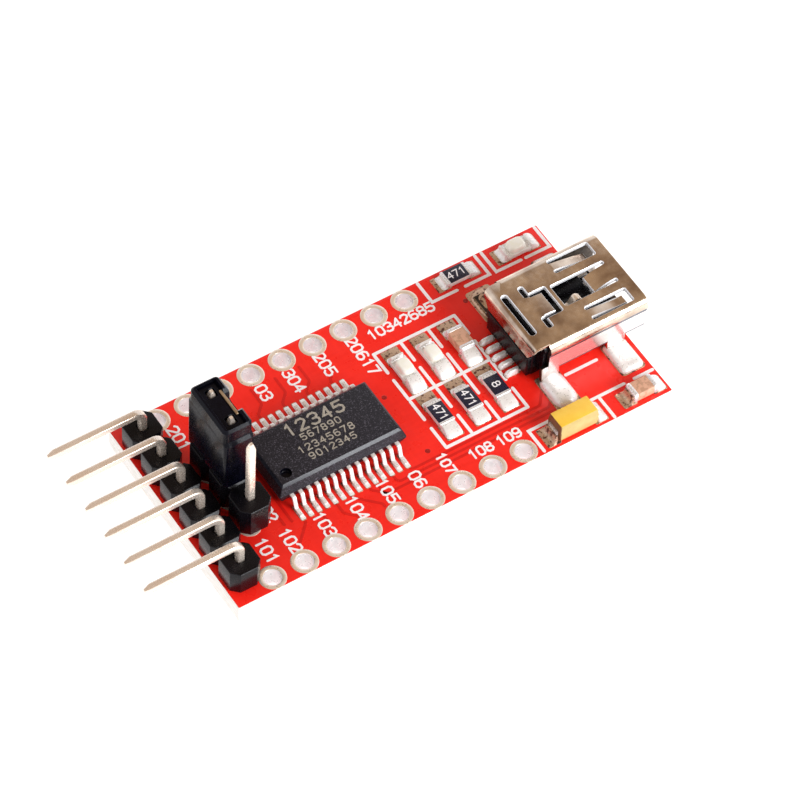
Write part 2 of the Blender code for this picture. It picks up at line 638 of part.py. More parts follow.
def make_tantalum(root, material):
    """A moulded block that stands on two folded end tabs."""
    end = TANTALUM_LENGTH / 2
    tab = end + TANTALUM_TAB
    right = [(tab, GAP), (tab, TANTALUM_TAB_TOP)]
    right += [(end, TANTALUM_TAB_TOP), (end - TANTALUM_DRAFT, TANTALUM_HEIGHT)]
    profile = right + [(-x, z) for x, z in reversed(right)]
    mesh = side_profile_mesh("tantalum_capacitor", profile, TANTALUM_WIDTH)
    add_object("tantalum_capacitor", mesh, material, TANTALUM_PLACE, root)


def main():
    for obj in list(bpy.data.objects):
        bpy.data.objects.remove(obj, do_unlink=True)
    root = add_empty("board_top", (BOARD_X, 0, BOARD_TOP))
    black = make_material("black_plastic", (0.012, 0.012, 0.014), 0.45)
    tin = make_material("tinned_metal", (0.72, 0.7, 0.68), 0.3, 1.0)
    copper = make_material("copper_alloy", (0.75, 0.5, 0.38), 0.35, 1.0)
    make_board(root, make_material("red_board", (0.72, 0.02, 0.015), 0.35))
    make_bent_header(root, black, copper)
    make_jumper_header(root, black, copper)
    make_jumper_cap(root, black, tin)
    make_usb_shell(root, make_material("nickel_shell", (0.5, 0.4, 0.32), 0.2, 1.0))
    make_usb_insulator(root, black)
    make_usb_contacts(root, tin)
    make_chip(root, make_material("chip_epoxy", (0.03, 0.03, 0.033), 0.55), tin)
    make_small_parts(
        root,
        {
            "resistor": make_material("resistor_glaze", (0.015, 0.015, 0.015), 0.3),
            "ceramic": make_material("tan_ceramic", (0.45, 0.3, 0.18), 0.5),
            "led": make_material("lamp_lens", (0.85, 0.82, 0.7), 0.25),
        },
    )
    make_tantalum(root, make_material("yellow_epoxy", (0.85, 0.45, 0.03), 0.4))


main()
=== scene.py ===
"""The looks of the USB-to-serial adapter board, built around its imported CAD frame.

Lengths here are millimetres in the board frame: its origin is the middle of the board's top face, X runs to
the USB socket, Y across the board and Z up. TO_ROW turns such a point into the frame's own metres.
"""

import math

import bmesh
import bpy
from mathutils import Matrix, Vector


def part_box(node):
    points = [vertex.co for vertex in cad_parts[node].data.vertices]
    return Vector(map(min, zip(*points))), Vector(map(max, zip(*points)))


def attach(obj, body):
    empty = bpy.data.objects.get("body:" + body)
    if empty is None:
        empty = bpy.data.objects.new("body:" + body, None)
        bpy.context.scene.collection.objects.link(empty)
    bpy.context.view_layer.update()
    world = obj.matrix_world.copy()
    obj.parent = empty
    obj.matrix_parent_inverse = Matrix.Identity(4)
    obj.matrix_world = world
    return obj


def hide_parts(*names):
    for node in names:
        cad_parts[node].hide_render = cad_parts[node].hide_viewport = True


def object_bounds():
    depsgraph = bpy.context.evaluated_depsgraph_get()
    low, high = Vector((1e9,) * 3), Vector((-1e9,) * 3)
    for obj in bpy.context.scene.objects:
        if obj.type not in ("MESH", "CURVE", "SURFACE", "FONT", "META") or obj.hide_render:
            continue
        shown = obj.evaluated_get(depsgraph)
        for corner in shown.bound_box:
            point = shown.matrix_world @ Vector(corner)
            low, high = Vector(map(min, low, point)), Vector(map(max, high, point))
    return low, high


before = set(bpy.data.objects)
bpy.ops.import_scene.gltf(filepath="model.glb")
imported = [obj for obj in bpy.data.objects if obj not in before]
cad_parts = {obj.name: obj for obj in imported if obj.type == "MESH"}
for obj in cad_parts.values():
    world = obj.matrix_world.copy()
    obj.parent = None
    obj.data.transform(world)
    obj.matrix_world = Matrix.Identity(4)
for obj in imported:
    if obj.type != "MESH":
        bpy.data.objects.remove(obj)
CAD_BOX = [list(corner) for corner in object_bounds()]

MM = 0.001
PCB_LOW, PCB_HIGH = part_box("pcb")
ORIGIN = Vector(((PCB_LOW.x + PCB_HIGH.x) / 2, (PCB_LOW.y + PCB_HIGH.y) / 2, PCB_HIGH.z))
TO_ROW = Matrix.Translation(ORIGIN) @ Matrix.Scale(MM, 4)


def span(node):
    """A CAD node's lowest and highest corners, in the board frame."""
    return [(corner - ORIGIN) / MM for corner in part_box(node)]


def middle(node):
    low, high = span(node)
    return (low + high) / 2


BOARD_LOW, BOARD_HIGH = span("pcb")
BOARD_BOTTOM = BOARD_LOW.z
PITCH = 2.54

# The plated holes.
EDGE_HOLES = 9
EDGE_HOLE_FIRST_X = -14.45
EDGE_HOLE_ROW_Y = 7.62
EDGE_HOLE_RADIUS = 0.7
PIN_HOLE_RADIUS = 0.52
PEG_HOLES = ((12.0, 1.8), (12.0, -1.8))
PEG_HOLE_RADIUS = 0.48
RING_RADIUS = 0.98
PIN_RING_RADIUS = 0.85
HOLE_SIDES = 48
PLATE = 0.035
PLATE_CHAMFER = 0.02
PLATE_SKIN = 0.01
PLATE_GAP = 0.002
BORE_INSET = 0.045
FLANGE_EDGE = 0.03
PIN_SOLDER_HEIGHT = 0.75
PIN_SOLDER_NECK = 0.62

BOARD_CORNER = 0.12
BOARD_EDGE = 0.05

# Flat layers on the board: copper under the mask, bare pads, then white print.
TRACK_TOP = 0.018
PAD_TOP = 0.045
PRINT_TOP = 0.03
PRINT_WIDTH = 0.24
STROKE_LIFT = 0.003

PIN_SIZE = 0.6
HEADER_PINS = [f"header_pin_{i}" for i in range(1, 7)]
JUMPER_PINS = [f"jumper_pin_{i}" for i in range(1, 4)]


# ---- outlines and paths


def circle(radius, sides=HOLE_SIDES, centre=(0.0, 0.0)):
    angles = [math.tau * i / sides for i in range(sides)]
    return [(centre[0] + radius * math.cos(a), centre[1] + radius * math.sin(a)) for a in angles]


def about(centre, half):
    """The (low, high) pair that reaches half to either side of a centre."""
    return (centre - half, centre + half)


def shrunk(pair, inset):
    """A (low, high) pair with both ends moved in, or out where inset is negative."""
    return (pair[0] + inset, pair[1] - inset)


def rounded_rectangle(xs, ys, radius, steps=5):
    """A counter-clockwise outline between two x and two y values."""
    radius = max(radius, 0.001)
    corners = [
        (xs[1] - radius, ys[1] - radius, 0),
        (xs[0] + radius, ys[1] - radius, 90),
        (xs[0] + radius, ys[0] + radius, 180),
        (xs[1] - radius, ys[0] + radius, 270),
    ]
    points = []
    for x, y, start in corners:
        for i in range(steps + 1):
            a = math.radians(start + 90 * i / steps)
            points.append((x + radius * math.cos(a), y + radius * math.sin(a)))
    return points


def flat(outline, z):
    return [(x, y, z) for x, y in outline]


def strip_section(width, sheet, radius):
    """The section of a strip of sheet metal, with its width first."""
    return rounded_rectangle(about(0, width / 2), about(0, sheet / 2), radius, 2)


def fillet(points, radius, steps=6):
    """The line through the points, with each inner corner turned into an arc."""
    points = [Vector(point) for point in points]
    path = [points[0]]
    for a, b, c in zip(points, points[1:], points[2:]):
        u = (a - b).normalized()
        v = (c - b).normalized()
        half = u.angle(v) / 2
        if half > math.radians(89):
            path.append(b)
            continue
        reach = min(radius / math.tan(half), 0.49 * min((a - b).length, (c - b).length))
        true_radius = reach * math.tan(half)
        centre = b + (u + v).normalized() * true_radius / math.sin(half)
        start = b + u * reach - centre
        end = b + v * reach - centre
        axis = start.cross(end).normalized()
        angle = start.angle(end)
        path += [centre + Matrix.Rotation(angle * i / steps, 3, axis) @ start for i in range(steps + 1)]
    path.append(points[-1])
    return path


# ---- solids


def add_loft(bm, rings, index=0, closed=False):
    """Joins rings of equal length. An open loft gets a face on each end, and a closed one joins its ends."""
    rows = [[bm.verts.new(point) for point in ring] for ring in rings]
    pairs = list(zip(rows, rows[1:]))
    if closed:
        pairs.append((rows[-1], rows[0]))
    faces = []
    for lower, upper in pairs:
        for i in range(len(lower)):
            j = (i + 1) % len(lower)
            faces.append(bm.faces.new((lower[i], lower[j], upper[j], upper[i])))
    if not closed:
        faces.append(bm.faces.new(rows[0][::-1]))
        faces.append(bm.faces.new(rows[-1]))
    for face in faces:
        face.material_index = index
    return faces


def edge_levels(low, high, edge, steps=3):
    """(inset, z) pairs that round the lower and the upper edge of a block."""
    levels = []
    for i in range(steps + 1):
        a = math.pi / 2 * i / steps
        levels.append((edge * (1 - math.sin(a)), low + edge * (1 - math.cos(a))))
    return levels + [(inset, low + high - z) for inset, z in reversed(levels)]


def add_block(bm, xs, ys, zs, corner=0.08, edge=0.04, index=0):
    """A block with rounded corners and edges."""
    rings = []
    for inset, z in edge_levels(zs[0], zs[1], edge):
        rings.append(flat(rounded_rectangle(shrunk(xs, inset), shrunk(ys, inset), corner - inset), z))
    return add_loft(bm, rings, index)


def add_turned(bm, centre, profile, indices, sides=HOLE_SIDES):
    """A ring-shaped solid from a closed profile of (radius, z) points. indices gives each side's material."""
    rings = [flat(circle(radius, sides, centre), z) for radius, z in profile]
    for i, face in enumerate(add_loft(bm, rings, closed=True)):
        face.material_index = indices[i // sides]


def add_sweep(bm, path, side, section, scales=None, index=0):
    """Draws a section along a path. Its first coordinate runs along side, its second across side and path.
    scales holds a factor for each of the two at every point of the path."""
    side = Vector(side).normalized()
    path = [Vector(point) for point in path]
    rings = []
    last = len(path) - 1
    for i, here in enumerate(path):
        d1 = (here - path[i - 1]).normalized() if i else (path[1] - here).normalized()
        d2 = (path[i + 1] - here).normalized() if i < last else d1
        tangent = (d1 + d2).normalized()
        normal = tangent.cross(side).normalized()
        stretch = 1 / max(0.35, tangent.dot(d1))
        wide, thick = scales[i] if scales else (1.0, 1.0)
        rings.append([here + side * a * wide + normal * b * stretch * thick for a, b in section])
    return add_loft(bm, rings, index)


def add_ribbon(bm, points, width, low, high, index=0, closed=False):
    """A flat printed line or copper track with round ends, from low to high."""
    path = [Vector((x, y, 0.0)) for x, y in points]
    scales = [1.0] * len(path)
    if not closed:
        first = (path[0] - path[1]).normalized() * width / 2
        last = (path[-1] - path[-2]).normalized() * width / 2
        tips = ((0.95, 0.3), (0.6, 0.8))
        start = [path[0] + first * k for k, _ in tips]
        end = [path[-1] + last * k for k, _ in reversed(tips)]
        path = start + path + end
        scales = [s for _, s in tips] + scales + [s for _, s in reversed(tips)]
    rings = []
    count = len(path)
    for i, here in enumerate(path):
        d1 = here - path[i - 1] if i or closed else path[1] - here
        d2 = path[(i + 1) % count] - here if i < count - 1 or closed else d1
        d1 = d1.normalized()
        d2 = d2.normalized()
        tangent = (d1 + d2).normalized()
        across = Vector((-tangent.y, tangent.x, 0.0)) * width / 2 * scales[i] / max(0.5, tangent.dot(d1))
        a = here - across
        b = here + across
        rings.append([(a.x, a.y, low), (b.x, b.y, low), (b.x, b.y, high), (a.x, a.y, high)])
    return add_loft(bm, rings, index, closed=closed)


def add_dome(bm, outline, low, height, index=0, steps=5, flatness=0.0):
    """A low rounded cushion over an outline, such as solder on a pad."""
    cx = sum(x for x, _ in outline) / len(outline)
    cy = sum(y for _, y in outline) / len(outline)
    rings = [flat(outline, low)]
    for i in range(steps + 1):
        a = math.pi / 2 * i / (steps + 0.6)
        share = flatness + (1 - flatness) * math.cos(a)
        z = low + 0.01 + height * math.sin(a)
        rings.append([(cx + (x - cx) * share, cy + (y - cy) * share, z) for x, y in outline])
    return add_loft(bm, rings, index)


def add_fillet(bm, foot, top, index=0, steps=6, fullness=0.0):
    """Solder between a foot and a higher ring. It is hollow like a quarter arc, or swells with fullness."""
    rings = []
    for i in range(steps + 1):
        a = math.pi / 2 * i / steps
        along = (1 - fullness) * math.sin(a) + fullness * (1 - math.cos(a))
        rise = (1 - fullness) * (1 - math.cos(a)) + fullness * math.sin(a)
        ring = []
        for p, q in zip(foot, top):
            x, y = (p[k] + (q[k] - p[k]) * along for k in (0, 1))
            ring.append((x, y, p[2] + (q[2] - p[2]) * rise))
        rings.append(ring)
    return add_loft(bm, rings, index)


# ---- pieces


def add_to_scene(name, data):
    obj = bpy.data.objects.new(name, data)
    bpy.context.scene.collection.objects.link(obj)
    return obj


def mesh_object(name, bm):
    """Turns a mesh in the board frame into an object in the row frame, with its faces pointing out."""
    bmesh.ops.recalc_face_normals(bm, faces=bm.faces)
    bmesh.ops.transform(bm, matrix=TO_ROW, verts=bm.verts)
    mesh = bpy.data.meshes.new(name)
    bm.to_mesh(mesh)
    bm.free()
    return add_to_scene(name, mesh)


def shade(mesh, smooth):
    """Smooth shading, with sharp edges where faces meet at more than an angle in degrees."""
    mesh.shade_smooth()
    mesh.set_sharp_from_angle(angle=math.radians(smooth))


def make_piece(name, bm, materials, body="board", replaces=(), smooth=35):
    """A piece that rides on a body and stands for the CAD nodes named."""
    obj = mesh_object(name, bm)
    shade(obj.data, smooth)
    for material in materials:
        obj.data.materials.append(M[material])
    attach(obj, body)
    if replaces:
        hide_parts(*replaces)
    return obj


def boolean(obj, bm, operation="DIFFERENCE", smooth=35):
    """Cuts or joins a body given in the board frame, and keeps the result in the object's mesh."""
    tool = mesh_object("tool", bm)
    modifier = obj.modifiers.new("shape", "BOOLEAN")
    modifier.object = tool
    modifier.operation = operation
    modifier.solver = "EXACT"
    modifier.use_self = True
    graph = bpy.context.evaluated_depsgraph_get()
    made = bpy.data.meshes.new_from_object(obj.evaluated_get(graph))
    obj.modifiers.clear()
    obj.data = made
    made.name = obj.name
    shade(made, smooth)
    bpy.data.objects.remove(tool)


# ---- materials


def new_material(name, colour, roughness, metallic=0.0, **sockets):
    material = bpy.data.materials.new(name)
    material.use_nodes = True
    shader = material.node_tree.nodes["Principled BSDF"]
    shader.inputs["Base Color"].default_value = (*colour, 1.0)
    shader.inputs["Roughness"].default_value = roughness
    shader.inputs["Metallic"].default_value = metallic
    for socket, value in sockets.items():
        shader.inputs[socket.replace("_", " ")].default_value = value
    return material


def shader_of(material):
    return material.node_tree.nodes["Principled BSDF"]


def noise(material, size, detail=3.0, stretch=(1.0, 1.0, 1.0), shift=0.0):
    """A 0 to 1 noise whose features are about size millimetres across, longer along a stretched axis."""
    nodes = material.node_tree.nodes
    links = material.node_tree.links
    coordinates = nodes.new("ShaderNodeTexCoord")
    mapping = nodes.new("ShaderNodeMapping")
    mapping.inputs["Scale"].default_value = [1.0 / (size * MM * s) for s in stretch]
    mapping.inputs["Location"].default_value = (shift, shift, shift)
    texture = nodes.new("ShaderNodeTexNoise")
    texture.inputs["Scale"].default_value = 1.0
    texture.inputs["Detail"].default_value = detail
    links.new(coordinates.outputs["Object"], mapping.inputs["Vector"])
    links.new(mapping.outputs["Vector"], texture.inputs["Vector"])
    return texture.outputs["Fac"]


def ramp(material, value, stops):
    """Colours along a 0 to 1 value. stops are (position, colour)."""
    node = material.node_tree.nodes.new("ShaderNodeValToRGB")
    elements = node.color_ramp.elements
    while len(elements) < len(stops):
        elements.new(0.5)
    for element, (position, colour) in zip(elements, stops):
        element.position = position
        element.color = (*colour, 1.0)
    material.node_tree.links.new(value, node.inputs["Fac"])
    return node.outputs["Color"]


def mix_colours(material, share, first, second):
    node = material.node_tree.nodes.new("ShaderNodeMix")
    node.data_type = "RGBA"
    links = material.node_tree.links
    links.new(share, node.inputs["Factor"])
    for socket, colour in ((node.inputs["A"], first), (node.inputs["B"], second)):
        if isinstance(colour, tuple):
            socket.default_value = (*colour, 1.0)
        else:
            links.new(colour, socket)
    return node.outputs["Result"]


def limits(material, value, low, high, start=0.3, end=0.7):
    """Stretches the part of a value from start to end over low to high."""
    node = material.node_tree.nodes.new("ShaderNodeMapRange")
    node.inputs["From Min"].default_value = start
    node.inputs["From Max"].default_value = end
    node.inputs["To Min"].default_value = low
    node.inputs["To Max"].default_value = high
    material.node_tree.links.new(value, node.inputs["Value"])
    return node.outputs["Result"]


def feed(material, socket, value):
    material.node_tree.links.new(value, shader_of(material).inputs[socket])


def add_bump(material, height, depth):
    """Relief depth millimetres deep."""
    node = material.node_tree.nodes.new("ShaderNodeBump")
    node.inputs["Strength"].default_value = 1.0
    node.inputs["Distance"].default_value = depth * MM
    material.node_tree.links.new(height, node.inputs["Height"])
    feed(material, "Normal", node.outputs["Normal"])


def edge_wear(material, reach=0.05):
    """Up to 1 within reach millimetres of an edge and 0 elsewhere: the mask for lighter edges, rubbed wear
    and painted highlight at once.
    """
    nodes = material.node_tree.nodes
    links = material.node_tree.links
    rounded = nodes.new("ShaderNodeBevel")
    rounded.samples = 4
    rounded.inputs["Radius"].default_value = reach * MM
    surface = nodes.new("ShaderNodeNewGeometry")
    agreement = nodes.new("ShaderNodeVectorMath")
    agreement.operation = "DOT_PRODUCT"
    links.new(rounded.outputs["Normal"], agreement.inputs[0])
    links.new(surface.outputs["Normal"], agreement.inputs[1])
    return limits(material, agreement.outputs["Value"], 1.0, 0.0, 0.8, 0.98)


def dress(material, colours, size, roughness, grain, depth, worn_edge_sheen=None):
    """Colour drift over size, roughness between two values and a fine grain. The edge colour, if given,
    lightens the edges as rubbed wear and painted highlight at once.
    """
    drift = noise(material, size)
    fine = noise(material, grain, detail=4.0, shift=3.7)
    colour = ramp(material, drift, [(0.32, colours[0]), (0.68, colours[1])])
    if worn_edge_sheen:
        colour = mix_colours(material, edge_wear(material), colour, worn_edge_sheen)
    feed(material, "Base Color", colour)
    feed(material, "Roughness", limits(material, fine, *roughness))
    add_bump(material, fine, depth)
    return material


def speckled(material, colours, size, share, roughness, grain, depth):
    """Like dress(), with dark specks of the second colour where a noise rises above share."""
    spots = noise(material, size, detail=5.0, shift=1.3)
    fine = noise(material, grain, detail=4.0, shift=3.7)
    feed(material, "Base Color", ramp(material, spots, [(share, colours[0]), (share + 0.08, colours[1])]))
    feed(material, "Roughness", limits(material, fine, *roughness))
    add_bump(material, fine, depth)
    return material


def make_mask_material(name, colours):
    """Solder mask: glossy lacquer that shows the laminate's weave faintly."""
    lacquer = {"Coat_Weight": 0.12, "Coat_Roughness": 0.12, "Specular_IOR_Level": 0.34}
    material = new_material(name, colours[0], 0.3, **lacquer)
    drift = noise(material, 6.0)
    weave = noise(material, 0.28, detail=1.0, stretch=(6.0, 1.0, 1.0))
    cross = noise(material, 0.28, detail=1.0, stretch=(1.0, 6.0, 1.0), shift=2.1)
    node = material.node_tree.nodes.new("ShaderNodeMath")
    node.operation = "ADD"
    material.node_tree.links.new(weave, node.inputs[0])
    material.node_tree.links.new(cross, node.inputs[1])
    base = ramp(material, drift, [(0.3, colours[0]), (0.7, colours[1])])
    threads = limits(material, node.outputs["Value"], 0.0, 0.35, 0.8, 1.25)
    feed(material, "Base Color", mix_colours(material, threads, base, colours[2]))
    feed(material, "Roughness", limits(material, noise(material, 1.1, shift=5.0), 0.24, 0.4))
    add_bump(material, node.outputs["Value"], 0.0015)
    return material


def make_laminate():
    """The board's cut sides: pale glass cloth in thin layers."""
    material = new_material("laminate", (0.85, 0.82, 0.72), 0.6)
    layers = noise(material, 0.09, detail=2.0, stretch=(12.0, 12.0, 1.0))
    stops = [(0.35, (0.82, 0.78, 0.7)), (0.6, (0.95, 0.94, 0.92))]
    feed(material, "Base Color", ramp(material, layers, stops))
    feed(material, "Roughness", limits(material, layers, 0.45, 0.75))
    add_bump(material, layers, 0.008)
    return material


def make_materials():
    red = ((0.93, 0.017, 0.009), (0.98, 0.022, 0.012), (0.84, 0.011, 0.007))
    dark_red = ((0.68, 0.009, 0.006), (0.75, 0.012, 0.007), (0.6, 0.007, 0.005))

    def plain(name, first, second, size, roughness, grain, depth, worn_edge_sheen=None, **sockets):
        return dress(new_material(name, first, 0.4, **sockets), (first, second), size, roughness, grain,
            depth, worn_edge_sheen)

    def spotted(name, first, second, size, share, roughness, grain, depth, **sockets):
        material = new_material(name, first, 0.4, **sockets)
        return speckled(material, (first, second), size, share, roughness, grain, depth)

    return {
        "mask": make_mask_material("red_mask", red),
        "track": make_mask_material("red_mask_over_copper", dark_red),
        "via": plain(
            "masked_via", (0.3, 0.006, 0.005), (0.45, 0.008, 0.006), 0.3, (0.2, 0.35), 0.08, 0.002,
        ),
        "laminate": make_laminate(),
        "print": plain(
            "white_print", (0.95, 0.92, 0.94), (0.99, 0.98, 0.99), 0.5, (0.45, 0.65), 0.06, 0.003,
        ),
        "tin": plain(
            "bright_tin", (0.84, 0.84, 0.86), (0.94, 0.94, 0.95), 0.7, (0.2, 0.38), 0.12, 0.0008,
            Metallic=0.55,
        ),
        "solder": plain(
            "solder", (0.88, 0.87, 0.86), (0.99, 0.99, 0.98), 0.4, (0.22, 0.42), 0.24, 0.0012,
            Metallic=0.3,
        ),
        "bare_pad": spotted(
            "fluxed_pad", (0.6, 0.42, 0.29), (0.14, 0.06, 0.045), 0.3, 0.54, (0.2, 0.5), 0.2, 0.004,
            Metallic=0.7,
        ),
        "ring": plain(
            "plated_ring", (0.92, 0.77, 0.62), (0.98, 0.88, 0.77), 0.6, (0.24, 0.36), 0.4, 0.0002,
            Metallic=0.6,
        ),
        # Painted shade: the clip's brass is darkened to stand in for the shade inside the cap.
        "shaded_brass": plain(
            "shaded_clip_brass", (0.42, 0.29, 0.17), (0.6, 0.44, 0.28), 0.5, (0.25, 0.45), 0.12, 0.001,
            Metallic=1.0,
        ),
        # Its third colour lightens the edges: rubbed wear and painted highlight at once.
        "black": plain(
            "moulded_black", (0.002, 0.002, 0.003), (0.005, 0.004, 0.006), 1.2, (0.16, 0.34), 0.09,
            0.002,
            (0.02, 0.02, 0.028), Specular_IOR_Level=0.2,
        ),
        # Its third colour lightens the edges: rubbed wear and painted highlight at once.
        "cap_black": plain(
            "cap_black", (0.001, 0.001, 0.003), (0.003, 0.003, 0.008), 1.0, (0.16, 0.32), 0.12, 0.002,
            (0.02, 0.024, 0.04), Specular_IOR_Level=0.14,
        ),
        "pin": plain(
            "flashed_pin", (0.93, 0.79, 0.67), (0.98, 0.88, 0.78), 1.8, (0.2, 0.32), 0.2, 0.0002,
            Metallic=0.66,
        ),
        "nickel": plain(
            "nickel_sheet", (0.90, 0.76, 0.62), (0.40, 0.29, 0.22), 1.8, (0.13, 0.25), 0.25, 0.0004,
            Metallic=1.0,
        ),
        # Painted dark lines on the side walls: a shadow line low down and a reflection of the dark horizon
        # under the step.
        "painted_dark_line": plain(
            "painted_dark_line_sheet", (0.16, 0.18, 0.22), (0.24, 0.26, 0.31), 0.6, (0.3, 0.4), 0.2, 0.0005,
            Metallic=0.9,
        ),
        # Painted highlight: a lighter, pinkish copy of the nickel sheet for the outside of the lower side
        # wall.
        "lit_lower_sheet": plain(
            "lit_lower_sheet", (0.94, 0.88, 0.86), (0.88, 0.8, 0.78), 1.2, (0.16, 0.26), 0.25, 0.0004,
            Metallic=0.8,
        ),
        # Painted shade: a dark copy of the nickel for the shell's inner faces and the rear faces beside the
        # flap.
        "shaded_inner_sheet": plain(
            "shaded_inner_sheet", (0.05, 0.042, 0.036), (0.1, 0.08, 0.066), 0.6, (0.3, 0.5), 0.2, 0.001,
            Metallic=1.0,
        ),
        "barrel": plain(
            "plated_barrel", (0.72, 0.72, 0.73), (0.82, 0.82, 0.82), 0.5, (0.25, 0.4), 0.3, 0.0002,
            Metallic=0.6,
        ),
        # Painted highlight: a near-white copy of the sheet for the walls of the slits in the top.
        "lit_cut_edge": plain(
            "lit_cut_edge", (0.86, 0.88, 0.92), (0.97, 0.97, 0.98), 0.4, (0.3, 0.45), 0.1, 0.001,
            Metallic=0.3,
        ),
        "lead": plain(
            "tinned_lead", (0.88, 0.87, 0.86), (0.98, 0.98, 0.97), 0.5, (0.2, 0.38), 0.1, 0.0005,
            Metallic=0.35,
        ),
        "epoxy": spotted(
            "chip_epoxy", (0.008, 0.007, 0.012), (0.085, 0.078, 0.1), 0.08, 0.56, (0.34, 0.6), 0.08,
            0.005,
            Specular_IOR_Level=0.36,
        ),
        "epoxy_edge": plain(
            "chip_epoxy_edge", (0.012, 0.012, 0.02), (0.02, 0.022, 0.034), 0.3, (0.24, 0.34), 0.1, 0.001,
            Specular_IOR_Level=0.4,
        ),
        "laser": plain(
            "laser_mark", (0.26, 0.23, 0.19), (0.46, 0.42, 0.35), 0.1, (0.65, 0.85), 0.05, 0.004,
        ),
        "ceramic_white": plain(
            "white_ceramic", (0.82, 0.8, 0.76), (0.92, 0.9, 0.87), 0.4, (0.4, 0.6), 0.06, 0.003,
        ),
        "glaze": plain(
            "black_glaze", (0.002, 0.003, 0.018), (0.005, 0.007, 0.035), 0.5, (0.22, 0.38), 0.09, 0.002,
            Coat_Weight=0.3, Coat_Roughness=0.12,
        ),
        "ceramic_tan": spotted(
            "tan_ceramic", (0.72, 0.41, 0.27), (0.55, 0.3, 0.19), 0.3, 0.5, (0.32, 0.55), 0.07, 0.004,
        ),
        "lens": plain(
            "lamp_lens", (0.95, 0.94, 0.82), (0.99, 0.98, 0.92), 0.5, (0.12, 0.26), 0.12, 0.001,
            Coat_Weight=0.5,
        ),
        # Its third colour lightens the edges: rubbed wear and painted highlight at once.
        "yellow": plain(
            "yellow_epoxy", (0.95, 0.57, 0.05), (1.0, 0.64, 0.08), 0.7, (0.28, 0.48), 0.08, 0.004,
            (1.0, 0.72, 0.22), Coat_Weight=0.25,
        ),
        # Painted shade: a darker copy of the yellow moulding for the block's long sides.
        "shaded_yellow_side": plain(
            "shaded_yellow_epoxy_side", (0.52, 0.38, 0.13), (0.62, 0.46, 0.17), 0.7, (0.3, 0.5), 0.08, 0.003,
        ),
        "brown_band": plain(
            "brown_band", (0.12, 0.04, 0.012), (0.2, 0.07, 0.02), 0.4, (0.3, 0.5), 0.08, 0.004,
        ),
    }


M = make_materials()


# ---- the board, its plating and its print


def edge_hole_centres(side):
    return [(EDGE_HOLE_FIRST_X + i * PITCH, side * EDGE_HOLE_ROW_Y) for i in range(EDGE_HOLES)]


def pin_centres():
    """Where each header pin goes through the board: its upright part is at the box's far end along X."""
    bent = [(span(name)[1].x - PIN_SIZE / 2, middle(name).y) for name in HEADER_PINS]
    return bent + [(middle(name).x, middle(name).y) for name in JUMPER_PINS]


def make_board():
    bm = bmesh.new()
    xs = (BOARD_LOW.x, BOARD_HIGH.x)
    ys = (BOARD_LOW.y, BOARD_HIGH.y)
    add_block(bm, xs, ys, (BOARD_BOTTOM, 0.0), BOARD_CORNER, BOARD_EDGE)
    board = make_piece("board", bm, ["mask", "laminate"], replaces=["pcb"])
    drills = bmesh.new()
    holes = [(c, EDGE_HOLE_RADIUS) for side in (-1, 1) for c in edge_hole_centres(side)]
    holes += [(c, PIN_HOLE_RADIUS) for c in pin_centres()]
    holes += [(c, PEG_HOLE_RADIUS) for c in PEG_HOLES]
    for centre, radius in holes:
        outline = circle(radius, centre=centre)
        add_loft(drills, [flat(outline, BOARD_BOTTOM - 1), flat(outline, 1.0)])
    boolean(board, drills)
    for face in board.data.polygons:
        lies_flat = abs(face.normal.z) > 0.75
        face.material_index = 0 if lies_flat else 1


def plating_profile(hole, ring):
    """A barrel with a flange on each face of the board, as (radius, z) points."""
    bore = hole - BORE_INSET
    outer = hole - PLATE_SKIN
    slope = ring - FLANGE_EDGE
    rise = bore + FLANGE_EDGE
    top = [(bore, PLATE_SKIN), (rise, PLATE), (slope, PLATE), (ring, PLATE - PLATE_CHAMFER)]
    top += [(ring, PLATE_GAP), (outer, PLATE_GAP)]
    under = [(radius, BOARD_BOTTOM - z) for radius, z in reversed(top)]
    return under[-1:] + top + under[:-1]


def make_plating():
    sides = [0, 1, 1, 1, 1, 0, 0, 0, 1, 1, 1, 0]
    rows = (
        ("plated_holes_near", edge_hole_centres(-1), EDGE_HOLE_RADIUS, RING_RADIUS),
        ("plated_holes_far", edge_hole_centres(1), EDGE_HOLE_RADIUS, RING_RADIUS),
        ("plated_pin_holes", pin_centres(), PIN_HOLE_RADIUS, PIN_RING_RADIUS),
    )
    for name, centres, hole, ring in rows:
        bm = bmesh.new()
        for centre in centres:
            add_turned(bm, centre, plating_profile(hole, ring), sides)
        make_piece(name, bm, ["barrel", "ring"], smooth=50)


def make_pin_solder():
    """A cone of solder round each pin under the board, as wide as its ring."""
    bm = bmesh.new()
    for x, y in pin_centres():
        foot = flat(circle(PIN_RING_RADIUS - 0.04, 32, (x, y)), BOARD_BOTTOM - PLATE)
        top = flat(circle(PIN_SIZE * PIN_SOLDER_NECK, 32, (x, y)), BOARD_BOTTOM - PIN_SOLDER_HEIGHT)
        add_fillet(bm, foot, top)
    make_piece("pin_solder", bm, ["solder"], smooth=60)


